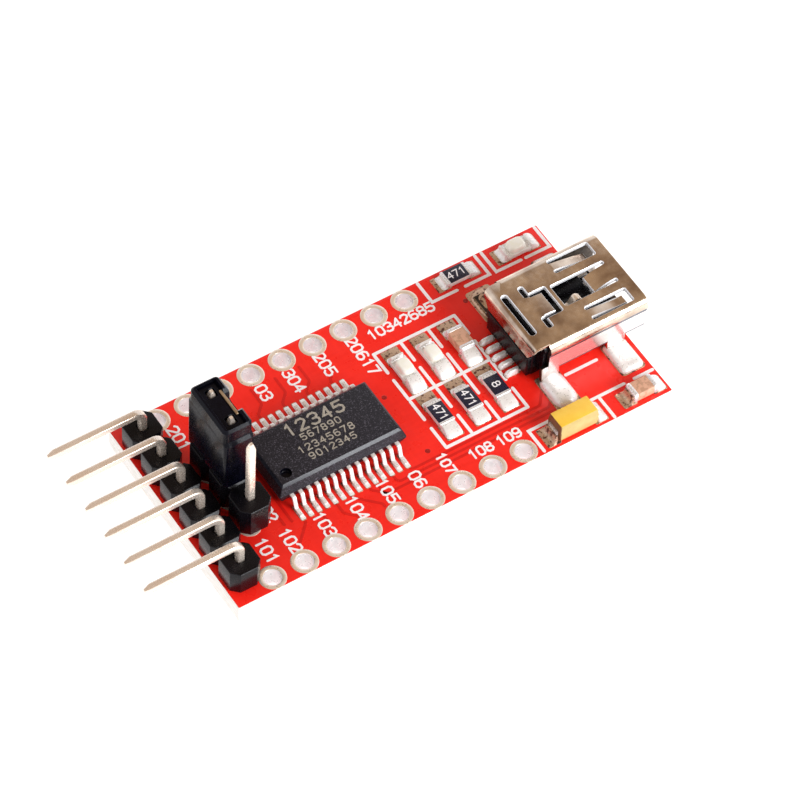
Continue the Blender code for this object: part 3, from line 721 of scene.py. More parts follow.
# Strokes of the plain numerals, on a grid 4 wide and 6 high.
STROKES = {
    "0": [[(1, 0), (3, 0), (4, 1.2), (4, 4.8), (3, 6), (1, 6), (0, 4.8), (0, 1.2), (1, 0)]],
    "1": [[(0.9, 4.8), (2.2, 6), (2.2, 0)]],
    "2": [[(0, 4.9), (1, 6), (3, 6), (4, 4.9), (4, 3.9), (0.2, 0.3)], [(0, 0), (4, 0)]],
    "3": [[(0, 5.2), (1, 6), (3, 6), (4, 5), (4, 4), (3, 3.1), (1.6, 3.1)],
          [(3, 3.1), (4, 2.2), (4, 1), (3, 0), (1, 0), (0, 0.8)]],
    "4": [[(3, 0), (3, 6)], [(2.8, 5.7), (0, 1.9), (4, 1.9)]],
    "5": [[(4, 6), (0.3, 6), (0, 3.4), (2.8, 3.6), (4, 2.5), (4, 1.1), (3, 0), (1, 0), (0, 0.8)]],
    "6": [[(3.6, 5.6), (2.8, 6), (1.2, 6), (0, 4.6), (0, 2.2)],
          [(1, 0), (3, 0), (4, 1.1), (4, 2.4), (3, 3.4), (1, 3.4), (0, 2.4), (0, 1.1), (1, 0)]],
    "7": [[(0, 6), (4, 6), (1.5, 0)]],
    "8": [[(1, 3.1), (3, 3.1), (3.8, 4), (3.8, 5), (3, 6), (1, 6), (0.2, 5), (0.2, 4), (1, 3.1)],
          [(1, 0), (3, 0), (4, 1), (4, 2.2), (3, 3.1), (1, 3.1), (0, 2.2), (0, 1), (1, 0)]],
    "9": [[(0.4, 0.4), (1.2, 0), (2.8, 0), (4, 1.4), (4, 3.8)],
          [(1, 2.6), (3, 2.6), (4, 3.6), (4, 4.9), (3, 6), (1, 6), (0, 4.9), (0, 3.6), (1, 2.6)]],
}


def add_numerals(bm, text, place, height, turn, width, low, high, spacing=1.5, index=0):
    """Writes plain numerals centred on place. turn is the reading direction in degrees."""
    unit = height / 6
    advance = (4 + spacing) * unit
    start = -(len(text) * advance - spacing * unit) / 2
    rotation = Matrix.Rotation(math.radians(turn), 2)
    for i, figure in enumerate(text):
        for k, stroke in enumerate(STROKES[figure]):
            local = [Vector((start + i * advance + x * unit, (y - 3) * unit)) for x, y in stroke]
            points = [tuple(rotation @ point + Vector(place)) for point in local]
            closed = stroke[0] == stroke[-1]
            if closed:
                points.pop()
            add_ribbon(bm, points, width, low, high + STROKE_LIFT * k, index, closed)


GRID_XS = (1.45, 3.65, 5.93, 8.2)
GRID_YS = (-4.62, 0.17, 4.72)
# The upright lines of the grid are broken where the pads' rows pass: each piece as (low y, high y).
GRID_PIECES = ((2.85, 4.6), (0.25, 2.1), (-1.85, -0.05), (-4.6, -2.72))

# Frames round the parts at the board's edges, each a line of (x, y) points.
FRAMES = (
    ((9.6, 6.5), (7.5, 6.5), (7.5, 8.45)),
    ((10.3, 6.5), (12.35, 6.5), (12.35, 8.45)),
    ((15.0, 6.45), (12.9, 6.45), (12.9, 8.45)),
    ((15.4, 6.45), (17.45, 6.45), (17.45, 8.45)),
    ((8.92, -6.38), (7.08, -6.38), (7.08, -8.35)),
    ((12.3, -6.4), (12.9, -6.4), (12.9, -8.45)),
    ((12.5, -6.4), (15.08, -6.4)),
    ((15.95, -6.4), (17.5, -6.4)),
    ((12.0, -3.68), (14.6, -3.68)),
)

# Plain numbers in the places of the printed names: (text, x, y, reading direction, height).
LABELS = (
    ("101", -13.65, -5.55, -90, 0.8), ("102", -11.85, -5.7, -90, 0.8), ("103", -9.15, -5.75, -90, 0.8),
    ("104", -6.55, -5.75, -90, 0.8), ("105", -4.0, -5.6, -90, 0.8), ("06", -1.7, -5.85, -90, 0.8),
    ("107", 0.7, -5.7, -90, 0.68), ("108", 3.35, -6.05, 0, 0.72), ("109", 5.65, -6.05, 0, 0.72),
    ("201", -13.9, 5.55, -90, 0.8), ("03", -6.85, 5.85, -90, 0.8), ("304", -4.5, 5.65, -90, 0.8),
    ("205", -1.9, 5.75, -90, 0.8), ("20617", 0.75, 5.05, -90, 0.8), ("10342685", 4.7, 6.25, 0, 0.75),
    ("02", -11.9, -3.1, -90, 0.7),
)
LABEL_WIDTH = 0.15
PIN_NUMBER_OFFSET = 1.75
PIN_NUMBER_HEIGHT = 0.9


def make_print():
    """The white lines and plain numbers on the top face."""
    bm = bmesh.new()
    for x in GRID_XS:
        for low, high in GRID_PIECES:
            add_ribbon(bm, [(x, low), (x, high)], PRINT_WIDTH, 0.0, PRINT_TOP)
    for y in GRID_YS:
        add_ribbon(bm, [(GRID_XS[0], y), (GRID_XS[-1], y)], PRINT_WIDTH, 0.0, PRINT_TOP + STROKE_LIFT)
    for k, points in enumerate(FRAMES):
        lift = STROKE_LIFT * (k % 3)
        add_ribbon(bm, points, PRINT_WIDTH, 0.0, PRINT_TOP + lift)
    for text, x, y, turn, height in LABELS:
        add_numerals(bm, text, (x, y), height, turn, LABEL_WIDTH, 0.0, PRINT_TOP)
    make_piece("print_top", bm, ["print"], smooth=30)


def make_print_below():
    """Pin numbers and an outline on the underside, mirrored so that they read from below."""
    bm = bmesh.new()
    for side in (-1, 1):
        for i, (x, y) in enumerate(edge_hole_centres(side), 1):
            place = (-x, y - side * PIN_NUMBER_OFFSET)
            add_numerals(bm, str(i), place, PIN_NUMBER_HEIGHT, 0, LABEL_WIDTH, 0.0, PRINT_TOP)
    outline = rounded_rectangle((-9.0, 4.0), about(0, 3.2), 0.4)
    add_ribbon(bm, outline, 0.18, 0.0, PRINT_TOP, closed=True)
    flip = Matrix.Translation((0, 0, BOARD_BOTTOM)) @ Matrix.Diagonal((-1, 1, -1, 1))
    bmesh.ops.transform(bm, matrix=flip, verts=bm.verts)
    make_piece("print_underside", bm, ["print"], smooth=30)


LEADS = 28
TRACK_WIDTH = 0.2
LOWER_TRACK_WIDTH = 0.3
# Where tracks start at the chip's near pads, end at the rings and turn from slanted to straight.
LEAD_END_Y = -4.4
RING_EDGE_Y = 6.6
SLANT_END_Y = -6.35
MOST_SLANT = 1.4
# A hair of X that keeps a slanted track's first bend off its straight start.
BEND_NUDGE = 0.0001
LAMP_TRACK_Y = -4.95
LAMP_TRACK_STEP = 0.42
LAMP_TRACK_END_X = 9.0


def add_track(bm, points, width=TRACK_WIDTH, low=0.0, high=TRACK_TOP):
    """A copper track under the mask, its corners softened."""
    path = fillet([(x, y, 0.0) for x, y in points], 0.35, 3)
    add_ribbon(bm, [(p.x, p.y) for p in path], width, low, high)


def make_tracks():
    """Tracks on top: from the chip's leads to the edge holes and the lamps, and past the jumper."""
    bm = bmesh.new()
    leads = [middle(f"chip_lead_{i:02d}") for i in range(1, LEADS + 1)]
    near = leads[:LEADS // 2]
    far = leads[LEADS // 2:]
    for k in range(5):
        x = near[2 * k].x
        hole_x = EDGE_HOLE_FIRST_X + (1 + k) * PITCH
        slant = min(abs(hole_x - x), MOST_SLANT)
        end_x = x + math.copysign(slant, hole_x - x)
        level = SLANT_END_Y + slant
        slope = [(x, level + 0.3), (x + BEND_NUDGE, level), (end_x, SLANT_END_Y)]
        add_track(bm, [(x, LEAD_END_Y), *slope, (end_x, -RING_EDGE_Y)])
    for k in range(3):
        x = near[13 - 2 * k].x
        y = LAMP_TRACK_Y - LAMP_TRACK_STEP * k
        end_x = LAMP_TRACK_END_X + 0.5 * k
        add_track(bm, [(x, LEAD_END_Y), (x, y + 0.2), (x + 0.2, y), (end_x, y), (end_x + 0.8, y + 1.0)])
    for lead in far[1::3]:
        x = lead.x
        add_track(bm, [(x, 3.6), (x, 4.4), (x + 0.7, 5.1), (x + 0.7, 6.5)])
    for x in (-11.5, -10.9):
        add_track(bm, [(x, LEAD_END_Y), (x, 3.4), (x + 1.4, 4.8)])
    make_piece("tracks_top", bm, ["track"], smooth=30)


def make_tracks_below():
    """Wider tracks on the underside, which turn from the edge holes to run along the board."""
    bm = bmesh.new()
    lines = []
    for i, (x, _) in enumerate(edge_hole_centres(1)[1:7]):
        bend = 4.6 - 0.45 * i
        end = [(-14.0 + i, bend), (-15.0 + i * 0.9, bend - 1.0)]
        lines.append([(x, RING_EDGE_Y), (x, bend + 0.6), (x - 0.6, bend), *end])
    for i, (x, _) in enumerate(edge_hole_centres(-1)[2:]):
        bend = -2.0 - 0.4 * i
        lines.append([(x, -RING_EDGE_Y), (x, bend - 0.6), (x + 0.7, bend), (11.0 - i * 0.4, bend)])
    for points in lines:
        add_track(bm, points, LOWER_TRACK_WIDTH, BOARD_BOTTOM - TRACK_TOP, BOARD_BOTTOM)
    make_piece("tracks_underside", bm, ["track"], smooth=30)


VIAS = (
    (0.2, -4.2), (9.6, 5.4), (10.9, -5.2), (-11.4, 4.9), (9.3, 1.9), (-10.9, 0.3), (0.1, 1.2), (17.0, -5.6),
)
# A via from its foot to its dimple, as (radius, height).
VIA_PROFILE = ((0.19, 0.001), (0.17, 0.012), (0.11, 0.012), (0.07, 0.004))


def make_vias():
    """Small plated holes filled with mask, seen as dark dimpled dots."""
    bm = bmesh.new()
    for x, y in VIAS:
        for face_z, way in ((0.0, 1), (BOARD_BOTTOM, -1)):
            add_loft(bm, [flat(circle(r, 20, (x, y)), face_z + way * z) for r, z in VIA_PROFILE])
    make_piece("vias", bm, ["via"], smooth=40)


# ---- both headers


STRIP_NOTCH = 0.55
STRIP_GROOVE = 0.27
STRIP_EDGE = 0.07
PIN_SLOT = 0.64
PIN_SINK = 0.06
PIN_TIP = 0.26
PIN_SKIN = 0.025
PIN_CORNER = 0.12
PIN_TAPER = 0.5
PIN_BEND = 0.7


def strip_outline(pins, half, inset):
    """A header strip from above, drawn in by inset: a square a pin with V notches between and cut ends."""
    lean = inset * math.tan(math.radians(22.5))
    end = pins / 2 * PITCH
    side = [(half - STRIP_NOTCH - lean, inset - end)]
    for i in range(pins):
        low = (i - pins / 2) * PITCH
        if i:
            side.append((half - STRIP_NOTCH - inset * math.sqrt(2), low))
        side.append((half - inset, low + STRIP_NOTCH + lean))
        side.append((half - inset, low + PITCH - STRIP_NOTCH - lean))
    side.append((half - STRIP_NOTCH - lean, end - inset))
    return side + [(-x, -y) for x, y in side]


def make_strip(node, name, pins):
    low, high = span(node)
    cx, cy, _ = middle(node)
    half = (high.x - low.x) / 2
    rings = []
    for inset, z in edge_levels(low.z, high.z, STRIP_EDGE):
        rings.append([(cx + x, cy + y, z) for x, y in strip_outline(pins, half, inset)])
    bm = bmesh.new()
    add_loft(bm, rings)
    strip = make_piece(name, bm, ["black"], replaces=[node])
    cuts = bmesh.new()
    for i in range(1, pins):
        y = cy + (i - pins / 2) * PITCH
        above = 0.1
        reach = STRIP_GROOVE + above
        wedge = [(y - reach, high.z + above), (y + reach, high.z + above), (y, high.z - STRIP_GROOVE)]
        add_loft(cuts, [[(cx + x, p, z) for p, z in wedge] for x in (-2 * half, 2 * half)])
    for i in range(pins):
        y = cy + (i - (pins - 1) / 2) * PITCH
        xs = about(cx, PIN_SLOT / 2)
        ys = about(y, PIN_SLOT / 2)
        add_block(cuts, xs, ys, (low.z - 1, high.z + 1), 0.05, 0.02)
        small = rounded_rectangle(xs, ys, 0.05)
        sink = rounded_rectangle(shrunk(xs, -PIN_SINK), shrunk(ys, -PIN_SINK), 0.1)
        add_loft(cuts, [flat(small, high.z - 0.08), flat(sink, high.z + 0.02), flat(sink, high.z + 0.5)])
    boolean(strip, cuts, smooth=25)


def pin_section():
    side = about(0, PIN_SIZE / 2 - PIN_SKIN)
    return rounded_rectangle(side, side, PIN_CORNER, 4)


def make_pin(node, name, bent):
    """A square pin with pointed ends. A bent one turns from upright to level on a round corner."""
    low, high = span(node)
    y = middle(node).y
    upright = high.x - PIN_SIZE / 2 if bent else middle(node).x
    tip = (PIN_TIP / PIN_SIZE, PIN_TIP / PIN_SIZE)
    path = [Vector((upright, y, low.z)), Vector((upright, y, low.z + PIN_TAPER))]
    if bent:
        level = high.z - PIN_SIZE / 2
        corner = (upright, y, level)
        turn = fillet([path[1], corner, (low.x + PIN_TAPER, y, level)], PIN_BEND, 12)
        path = [path[0]] + turn + [Vector((low.x, y, level))]
    else:
        path += [Vector((upright, y, high.z - PIN_TAPER)), Vector((upright, y, high.z))]
    scales = [tip] + [(1.0, 1.0)] * (len(path) - 2) + [tip]
    bm = bmesh.new()
    add_sweep(bm, path, (0, 1, 0), pin_section(), scales)
    make_piece(name, bm, ["pin"], replaces=[node], smooth=40)


def make_headers():
    make_strip("header_block", "header_strip", 6)
    make_strip("jumper_block", "jumper_strip", 3)
    for i, node in enumerate(HEADER_PINS, 1):
        make_pin(node, f"bent_pin_{i}", True)
    for i, node in enumerate(JUMPER_PINS, 1):
        make_pin(node, f"straight_pin_{i}", False)


# ---- the jumper cap


CAP_WALL = 0.42
CAP_RIM_HEIGHT = 1.2
CAP_RIM_STEP_X = 0.03
CAP_RIM_STEP_Y = 0.2
CAP_EDGE = 0.06
CAP_CORNER = 0.35
CAP_LEDGE_BEVEL = 0.24
CAP_TOP_BEVEL = 0.2
CAP_NOTCH_WIDTH = 1.5
CAP_NOTCH_SHOULDER = 0.35
CAP_GUIDE = 0.3
CAP_GUIDE_TOP = span("jumper_pin_2")[1].z - 0.28
GUIDE_SLOT = PIN_SIZE / 2 + 0.06
GUIDE_CHAMFER = 0.03
CLIP_SHEET = 0.2
CLIP_MOUTH = 1.3
CLIP_LIP_RISE = 0.14
CLIP_LIP_HEIGHT = 0.8
CLIP_LIP_HALF = 1.15


def make_cap():
    """An open-topped shell whose rim steps in above a ledge, with a round-shouldered gap in its +X wall."""
    low, high = span("jumper_cap")
    ledge = high.z - CAP_RIM_HEIGHT
    turn = (0.15, 0.5, 0.85, 1.0)

    def ring(step, inset, z):
        xs = shrunk((low.x, high.x), CAP_RIM_STEP_X * step + inset)
        ys = shrunk((low.y, high.y), CAP_RIM_STEP_Y * step + inset)
        return flat(rounded_rectangle(xs, ys, CAP_CORNER - inset), z)

    rings = [ring(0, inset, z) for inset, z in edge_levels(low.z, ledge, CAP_EDGE)[:4]]
    rings.append(ring(0, 0.0, ledge - CAP_LEDGE_BEVEL))
    rings += [ring(share, 0.0, ledge - CAP_LEDGE_BEVEL * (1 - share)) for share in turn]
    rings.append(ring(1, 0.0, high.z - CAP_TOP_BEVEL))
    rings += [ring(1, CAP_TOP_BEVEL * 0.8 * share, high.z - CAP_TOP_BEVEL * (1 - share)) for share in turn]
    bm = bmesh.new()
    add_loft(bm, rings)
    cap = make_piece("jumper_shell", bm, ["cap_black"], "jumper", ["jumper_cap"])
    cuts = bmesh.new()
    well_xs, well_ys = cap_well()
    well = rounded_rectangle(well_xs, well_ys, 0.12)
    mouth = rounded_rectangle(shrunk(well_xs, -CAP_EDGE), shrunk(well_ys, -CAP_EDGE), 0.18)
    levels = ((well, low.z - 1), (well, high.z - 0.1), (mouth, high.z + 0.02), (mouth, high.z + 1))
    add_loft(cuts, [flat(outline, z) for outline, z in levels])
    x, y, _ = middle("jumper_cap")
    section = cap_notch(ledge + 0.1, high.z)
    add_loft(cuts, [[(end, y + p, z) for p, z in section] for end in (x, x + 3.0)])
    boolean(cap, cuts, smooth=30)


def cap_well():
    """The x and y values between which the cap is hollow."""
    low, high = span("jumper_cap")
    return shrunk((low.x, high.x), CAP_WALL), shrunk((low.y, high.y), CAP_WALL)


def cap_notch(floor, top):
    """The outline of the gap in the cap's wall, as (distance from its middle, height)."""
    half = CAP_NOTCH_WIDTH / 2
    wide = half + CAP_NOTCH_SHOULDER
    profile = [(-half, floor), (half, floor), (half, top - CAP_NOTCH_SHOULDER)]
    profile += [(wide, top + 0.02), (wide, top + 1)]
    profile += [(-p, z) for p, z in reversed(profile[2:])]
    loop = [(p, 0, z) for p, z in profile + profile[:1]]
    return [(point.x, point.z) for point in fillet(loop, 0.3, 5)][:-1]


def make_pin_guide():
    """A floor inside the cap with a slot for each of the two pins."""
    top = CAP_GUIDE_TOP
    xs, ys = (shrunk(pair, -0.02) for pair in cap_well())
    bm = bmesh.new()
    add_block(bm, xs, ys, (top - CAP_GUIDE, top))
    guide = make_piece("jumper_pin_guide", bm, ["cap_black"], "jumper")
    slots = bmesh.new()
    for node in ("jumper_pin_2", "jumper_pin_3"):
        x, y, _ = middle(node)
        slot, wide = (
            rounded_rectangle(about(x, GUIDE_SLOT + flare), about(y, GUIDE_SLOT + flare), corner)
            for flare, corner in ((0, 0.1), (GUIDE_CHAMFER, 0.12))
        )
        levels = ((slot, top - 1), (slot, top - GUIDE_CHAMFER), (wide, top), (wide, top + 1))
        add_loft(slots, [flat(outline, z) for outline, z in levels])
    boolean(guide, slots, smooth=30)


def make_clip():
    """The contact inside the cap: a strip of sheet bent round the pins, open towards +X, and a lip there."""
    low, high = span("jumper_contact")
    cx, cy, cz = middle("jumper_contact")
    half_sheet = CLIP_SHEET / 2
    x = (high.x - low.x) / 2 - half_sheet
    y = (high.y - low.y) / 2 - half_sheet
    mouth = CLIP_MOUTH / 2
    corners = [(x, mouth), (x, y), (-x, y), (-x, -y), (x, -y), (x, -mouth)]
    path = fillet([(cx + px, cy + py, cz) for px, py in corners], 0.25, 5)
    reach = CAP_GUIDE_TOP - CAP_GUIDE / 2 - cz
    section = rounded_rectangle((low.z - cz, reach), about(0, half_sheet), 0.05, 2)
    bm = bmesh.new()
    add_sweep(bm, path, (0, 0, 1), section)
    lip_top = CAP_GUIDE_TOP + CLIP_LIP_RISE
    lip_zs = (lip_top - CLIP_LIP_HEIGHT, lip_top)
    add_block(bm, (high.x - CLIP_SHEET, high.x), about(cy, CLIP_LIP_HALF), lip_zs, 0.06, 0.04)
    # The clip's darkened brass is painted shade.
    make_piece("jumper_clip", bm, ["shaded_brass"], "jumper", ["jumper_contact"], smooth=40)


# ---- the USB socket


USB_SHEET = 0.3
USB_MOUTH_X = span("usb_shell")[1].x
USB_REAR_X = 9.4
USB_SHOULDER_X = 10.6
USB_TOP = span("usb_shell")[1].z
USB_HALF = 3.6
USB_FLAP_TOP_HALF = 3.22
USB_FLAP_HALF = 3.12
USB_FLAP_END_HALF = 2.5
USB_FLAP_LOW = 2.4
USB_FLAP_BEND = 0.42
USB_FOOT = 0.08
USB_HALF_BOTTOM = 2.45
# The side wall from the bottom up, as (half width, height): the lower wall, then the step out near the top.
USB_SIDE = ((2.9, 0.4), (3.28, 0.82), (3.4, 1.0), (3.42, 1.16), (3.46, 2.68), (3.465, 2.9), (3.6, 3.1))
# Heights of two thin dark bands on the side walls, both painted: a shadow line low on the wall and a
# reflection of the dark horizon just under the step out.
USB_SHADOW_LINE = (1.0, 1.16)
USB_REFLECTION_LINE = (2.68, 3.0)
USB_CORNER = 0.72
USB_RIM_SETBACK = 0.04
USB_TAB_XS = (10.8, 16.35)
USB_TAB_WIDTH = 1.5
USB_TAB_ROOT = 3.25
USB_TAB_KNEE = 3.35
USB_TAB_REACH = 5.2
SHELL_MATERIALS = ["nickel", "lit_cut_edge", "shaded_inner_sheet", "painted_dark_line", "lit_lower_sheet"]


def inward(points, distance):
    """A flat line of (a, b) points moved to its left, with mitred corners."""
    moved = []
    for i, here in enumerate(points):
        d1 = (here - points[i - 1]).normalized() if i else None
        d2 = (points[i + 1] - here).normalized() if i < len(points) - 1 else d1
        d1 = d1 or d2
        n1 = Vector((-d1.y, d1.x))
        n2 = Vector((-d2.y, d2.x))
        moved.append(here + (n1 + n2) * distance / (1 + n1.dot(n2)))
    return moved


def usb_section(inset):
    """Half of the socket's section for positive y, from the bottom's middle round to the top's middle."""
    corners = [(0.0, USB_FOOT), (USB_HALF_BOTTOM, USB_FOOT), *USB_SIDE, (USB_HALF, USB_TOP)]
    corners = inward([Vector(corner) for corner in corners], USB_SHEET * inset)[:-1]
    radius = USB_CORNER - USB_SHEET * inset
    side = USB_HALF - USB_CORNER
    turn = [math.radians(90 * i / 9) for i in range(10)]
    shoulder = [(side + radius * math.cos(a), USB_TOP - USB_CORNER + radius * math.sin(a)) for a in turn]
    lower = fillet([(0.0, y, z) for y, z in [*corners, shoulder[0]]], 0.35, 5)[:-1]
    return [(point.y, point.z) for point in lower] + shoulder + [(0.0, USB_TOP - USB_SHEET * inset)]


def usb_ring(inset, x):
    half = usb_section(inset)
    points = half + [(-y, z) for y, z in reversed(half[1:-1])]
    return [(x, y, z) for y, z in points]


def usb_xs():
    """Stations along the socket, close enough for the spring fingers to bend smoothly."""
    count = round((USB_MOUTH_X - USB_SHOULDER_X) / 0.2)
    return [USB_SHOULDER_X + (USB_MOUTH_X - USB_SHOULDER_X) * i / count for i in range(count + 1)]


def make_usb_body():
    """The shell: a tube of sheet with a rear flap, four feet, slits, and fingers pressed down."""
    bm = bmesh.new()
    xs = usb_xs()
    outer = [usb_ring(0, x) for x in xs]
    inner = [usb_ring(1, x) for x in reversed(xs)]
    rim = [usb_ring(inset, USB_MOUTH_X) for inset in (0.12, 0.88)]
    outer[-1] = usb_ring(0, USB_MOUTH_X - USB_RIM_SETBACK)
    inner[0] = usb_ring(1, USB_MOUTH_X - USB_RIM_SETBACK)
    add_loft(bm, outer + rim + inner, closed=True)
    shell = make_piece("usb_shell_sheet", bm, SHELL_MATERIALS, replaces=["usb_shell"])
    boolean(shell, usb_flap(), "UNION")
    boolean(shell, usb_tabs(), "UNION")
    boolean(shell, usb_openings(), smooth=32)
    for face in shell.data.polygons:
        material = shell_material((face.center - ORIGIN) / MM, face.normal)
        face.material_index = SHELL_MATERIALS.index(material)
    bend_fingers(shell)


def usb_flap():
    """The rear of the top, bent down and narrower towards its end."""
    bm = bmesh.new()
    top = USB_TOP - USB_SHEET / 2
    rear = USB_REAR_X + USB_SHEET / 2
    path = fillet([(USB_SHOULDER_X + 0.1, 0, top), (rear, 0, top), (rear, 0, USB_FLAP_LOW)], USB_FLAP_BEND, 8)
    last = len(path) - 1
    taper = USB_FLAP_HALF - USB_FLAP_TOP_HALF
    halves = [USB_FLAP_TOP_HALF + taper * i / (last - 1) for i in range(last)] + [USB_FLAP_END_HALF]
    section = strip_section(2 * USB_FLAP_HALF, USB_SHEET, 0.05)
    add_sweep(bm, path, (0, 1, 0), section, [(half / USB_FLAP_HALF, 1.0) for half in halves])
    return bm


def shell_material(here, normal):
    """The material of a face of the shell with its middle here."""
    half = abs(here.y)
    in_body = here.x > USB_SHOULDER_X
    in_slits = 9.9 < here.x < 18.0 and half < 3.05 and USB_TOP - USB_SHEET - 0.02 < here.z < USB_TOP - 0.001
    outward = Vector((0.0, here.y, here.z - USB_TOP / 2)).dot(normal)
    # Walls of the slits take the near-white copy of the sheet: painted highlight.
    if in_slits and abs(normal.z) < 0.8:
        return "lit_cut_edge"
    # Inner faces take the dark copy of the sheet: painted shade.
    if in_body and abs(normal.x) < 0.3 and outward < 0:
        return "shaded_inner_sheet"
    # Rear-facing faces beside the flap take the dark copy too: painted shade.
    if here.x < USB_SHOULDER_X + 0.02 and normal.x < -0.9 and half > USB_FLAP_HALF:
        return "shaded_inner_sheet"
    # A thin dark band under the step: painted reflection of the dark horizon.
    if in_body and half > 3.45 and USB_REFLECTION_LINE[0] < here.z < USB_REFLECTION_LINE[1]:
        return "painted_dark_line"
    # A thin dark band low on the wall: painted shadow line.
    if in_body and 3.39 < half < 3.42 and USB_SHADOW_LINE[0] < here.z < USB_SHADOW_LINE[1]:
        return "painted_dark_line"
    # The outside of the lower side wall takes the lighter copy of the sheet: painted highlight.
    if in_body and 3.41 < half < 3.5 and 1.1 < here.z < 3.0:
        return "lit_lower_sheet"
    return "nickel"


def usb_tabs():
    """Four feet that leave the side walls and lie on the board."""
    bm = bmesh.new()
    section = strip_section(USB_TAB_WIDTH, USB_SHEET, 0.05)
    foot = 0.03 + USB_SHEET / 2
    for x in USB_TAB_XS:
        for side in (-1, 1):
            start = (x, side * USB_TAB_ROOT, 1.6)
            knee = (x, side * USB_TAB_KNEE, foot)
            end = (x, side * USB_TAB_REACH, foot)
            add_sweep(bm, fillet([start, knee, end], 0.3, 6), (1, 0, 0), section)
    return bm


# The openings in the shell's top, each as x values, y values and the radius of its corners: the rear slot,
# the latch's end and the window, then one side's latch slits and finger slits, which the other side mirrors.
CENTRE_OPENINGS = (
    ((9.95, 10.45), (-1.97, 1.97), 0.2),
    ((12.72, 13.15), (-1.2, 1.2), 0.12),
    ((13.5, 16.1), (-1.0, 1.0), 0.1),
)
SIDE_OPENINGS = (
    ((11.75, 12.9), (0.92, 1.2), 0.1),
    ((11.4, 11.8), (1.0, 2.0), 0.15),
    ((15.9, 17.9), (0.76, 1.0), 0.11),
    ((14.5, 17.9), (1.78, 2.02), 0.11),
    ((14.5, 17.9), (2.73, 2.97), 0.11),
    ((17.5, 17.9), (1.85, 2.9), 0.1),
)
OPENING_FLARE = 0.05


def add_opening(bm, xs, ys, corner):
    """A cutter for the shell's top that breaks the opening's upper edge."""
    inner = rounded_rectangle(xs, ys, corner, 4)
    loop = [Vector(point) for point in inner + inner[:1]]
    wide = [(point.x, point.y) for point in inward(loop, -OPENING_FLARE)][:-1]
    levels = ((inner, USB_TOP - 2.2 * USB_SHEET), (inner, USB_TOP - OPENING_FLARE))
    levels += ((wide, USB_TOP), (wide, USB_TOP + 1))
    add_loft(bm, [flat(outline, z) for outline, z in levels])


def usb_openings():
    """Cutters for the openings in the top and for the two pegs in the bottom."""
    bm = bmesh.new()
    for opening in CENTRE_OPENINGS:
        add_opening(bm, *opening)
    for side in (-1, 1):
        for xs, ys, corner in SIDE_OPENINGS:
            add_opening(bm, xs, sorted(side * y for y in ys), corner)
    for centre in PEG_HOLES:
        outline = circle(PEG_HOLE_RADIUS, 32, centre)
        add_loft(bm, [flat(outline, z) for z in (-1.0, USB_FOOT + USB_SHEET + 0.1)])
    return bm


# The springs in the top: where each is rooted and ends along x, and how far its end is pressed down.
FINGER_ROOT = 14.4
FINGER_TIP = 17.5
FAR_FINGER_DROP = 0.7
NEAR_FINGER_DROP = 0.3
TONGUE_ROOT = 18.1
TONGUE_TIP = 16.1
TONGUE_DROP = 0.45
LATCH_ROOT = 11.35
LATCH_TIP = 12.72
LATCH_DROP = 0.1


def finger_drop(x, y):
    """How far the sheet of the top is pressed down: two side fingers, a centre tongue and a latch."""
    far = y > 0
    y = abs(y)
    if 1.99 < y < 2.76 and FINGER_ROOT < x < FINGER_TIP + 0.05:
        t = min((x - FINGER_ROOT) / (FINGER_TIP - FINGER_ROOT), 1.0)
        return FAR_FINGER_DROP * t ** 1.3 if far else NEAR_FINGER_DROP * math.sin(t * math.pi * 0.62) ** 2
    if y < 0.79 and TONGUE_TIP - 0.05 < x < TONGUE_ROOT:
        t = (TONGUE_ROOT - x) / (TONGUE_ROOT - TONGUE_TIP)
        return TONGUE_DROP * t * t
    if y < 0.95 and LATCH_ROOT < x < LATCH_TIP + 0.02:
        t = (x - LATCH_ROOT) / (LATCH_TIP - LATCH_ROOT)
        return LATCH_DROP * t * t
    return 0.0


def bend_fingers(shell):
    for vert in shell.data.vertices:
        here = (vert.co - ORIGIN) / MM
        if here.z > USB_TOP - 1.5 * USB_SHEET:
            vert.co.z -= finger_drop(here.x, here.y) * MM
    shell.data.update()


USB_CONTACTS = [f"usb_contact_{i}" for i in range(1, 6)]
CONTACT_SHEET = 0.18
# The insulator's blocks, each as x values, half its width, z values, corner and edge: the rear wall, the
# wall's foot under the flap, the tongue and the tongue's thicker root.
INSULATOR_BLOCKS = (
    ((9.78, 10.5), 2.55, (0.3, 3.45), 0.1, 0.05),
    # This foot reaches forward to the flap: partly insulator, partly a black stand-in for the shade behind
    # the contacts' feet.
    ((9.4, 10.0), 2.5, (0.32, 2.2), 0.1, 0.05),
    ((12.7, 17.4), 2.1, (1.45, 2.35), 0.12, 0.06),
    ((12.7, 16.3), 2.1, (2.2, 2.7), 0.12, 0.08),
)
# A peg from its tip up, as (radius, height), and the spring's route under the window, as (x, height).
PEG_PROFILE = ((0.25, -1.3), (0.4, -1.1), (0.4, 0.5))
SPRING_ROUTE = ((13.6, 2.6), (14.3, 2.75), (14.75, 3.5), (15.15, 3.15))
SPRING_Y = -0.35


def make_usb_contacts():
    """Five strips: a foot on the board behind the socket, a riser, and a blade on the tongue."""
    riser = USB_REAR_X + 0.51
    for i, node in enumerate(USB_CONTACTS, 1):
        low, high = span(node)
        y = middle(node).y
        blade = high.z - CONTACT_SHEET / 2
        foot = low.z + CONTACT_SHEET / 2
        points = [(low.x, y, foot), (riser, y, foot), (riser, y, blade), (high.x, y, blade)]
        section = strip_section(high.y - low.y, CONTACT_SHEET, 0.04)
        bm = bmesh.new()
        add_sweep(bm, fillet(points, 0.2, 5), (0, 1, 0), section)
        make_piece(f"socket_contact_{i}", bm, ["lead"], replaces=[node], smooth=40)


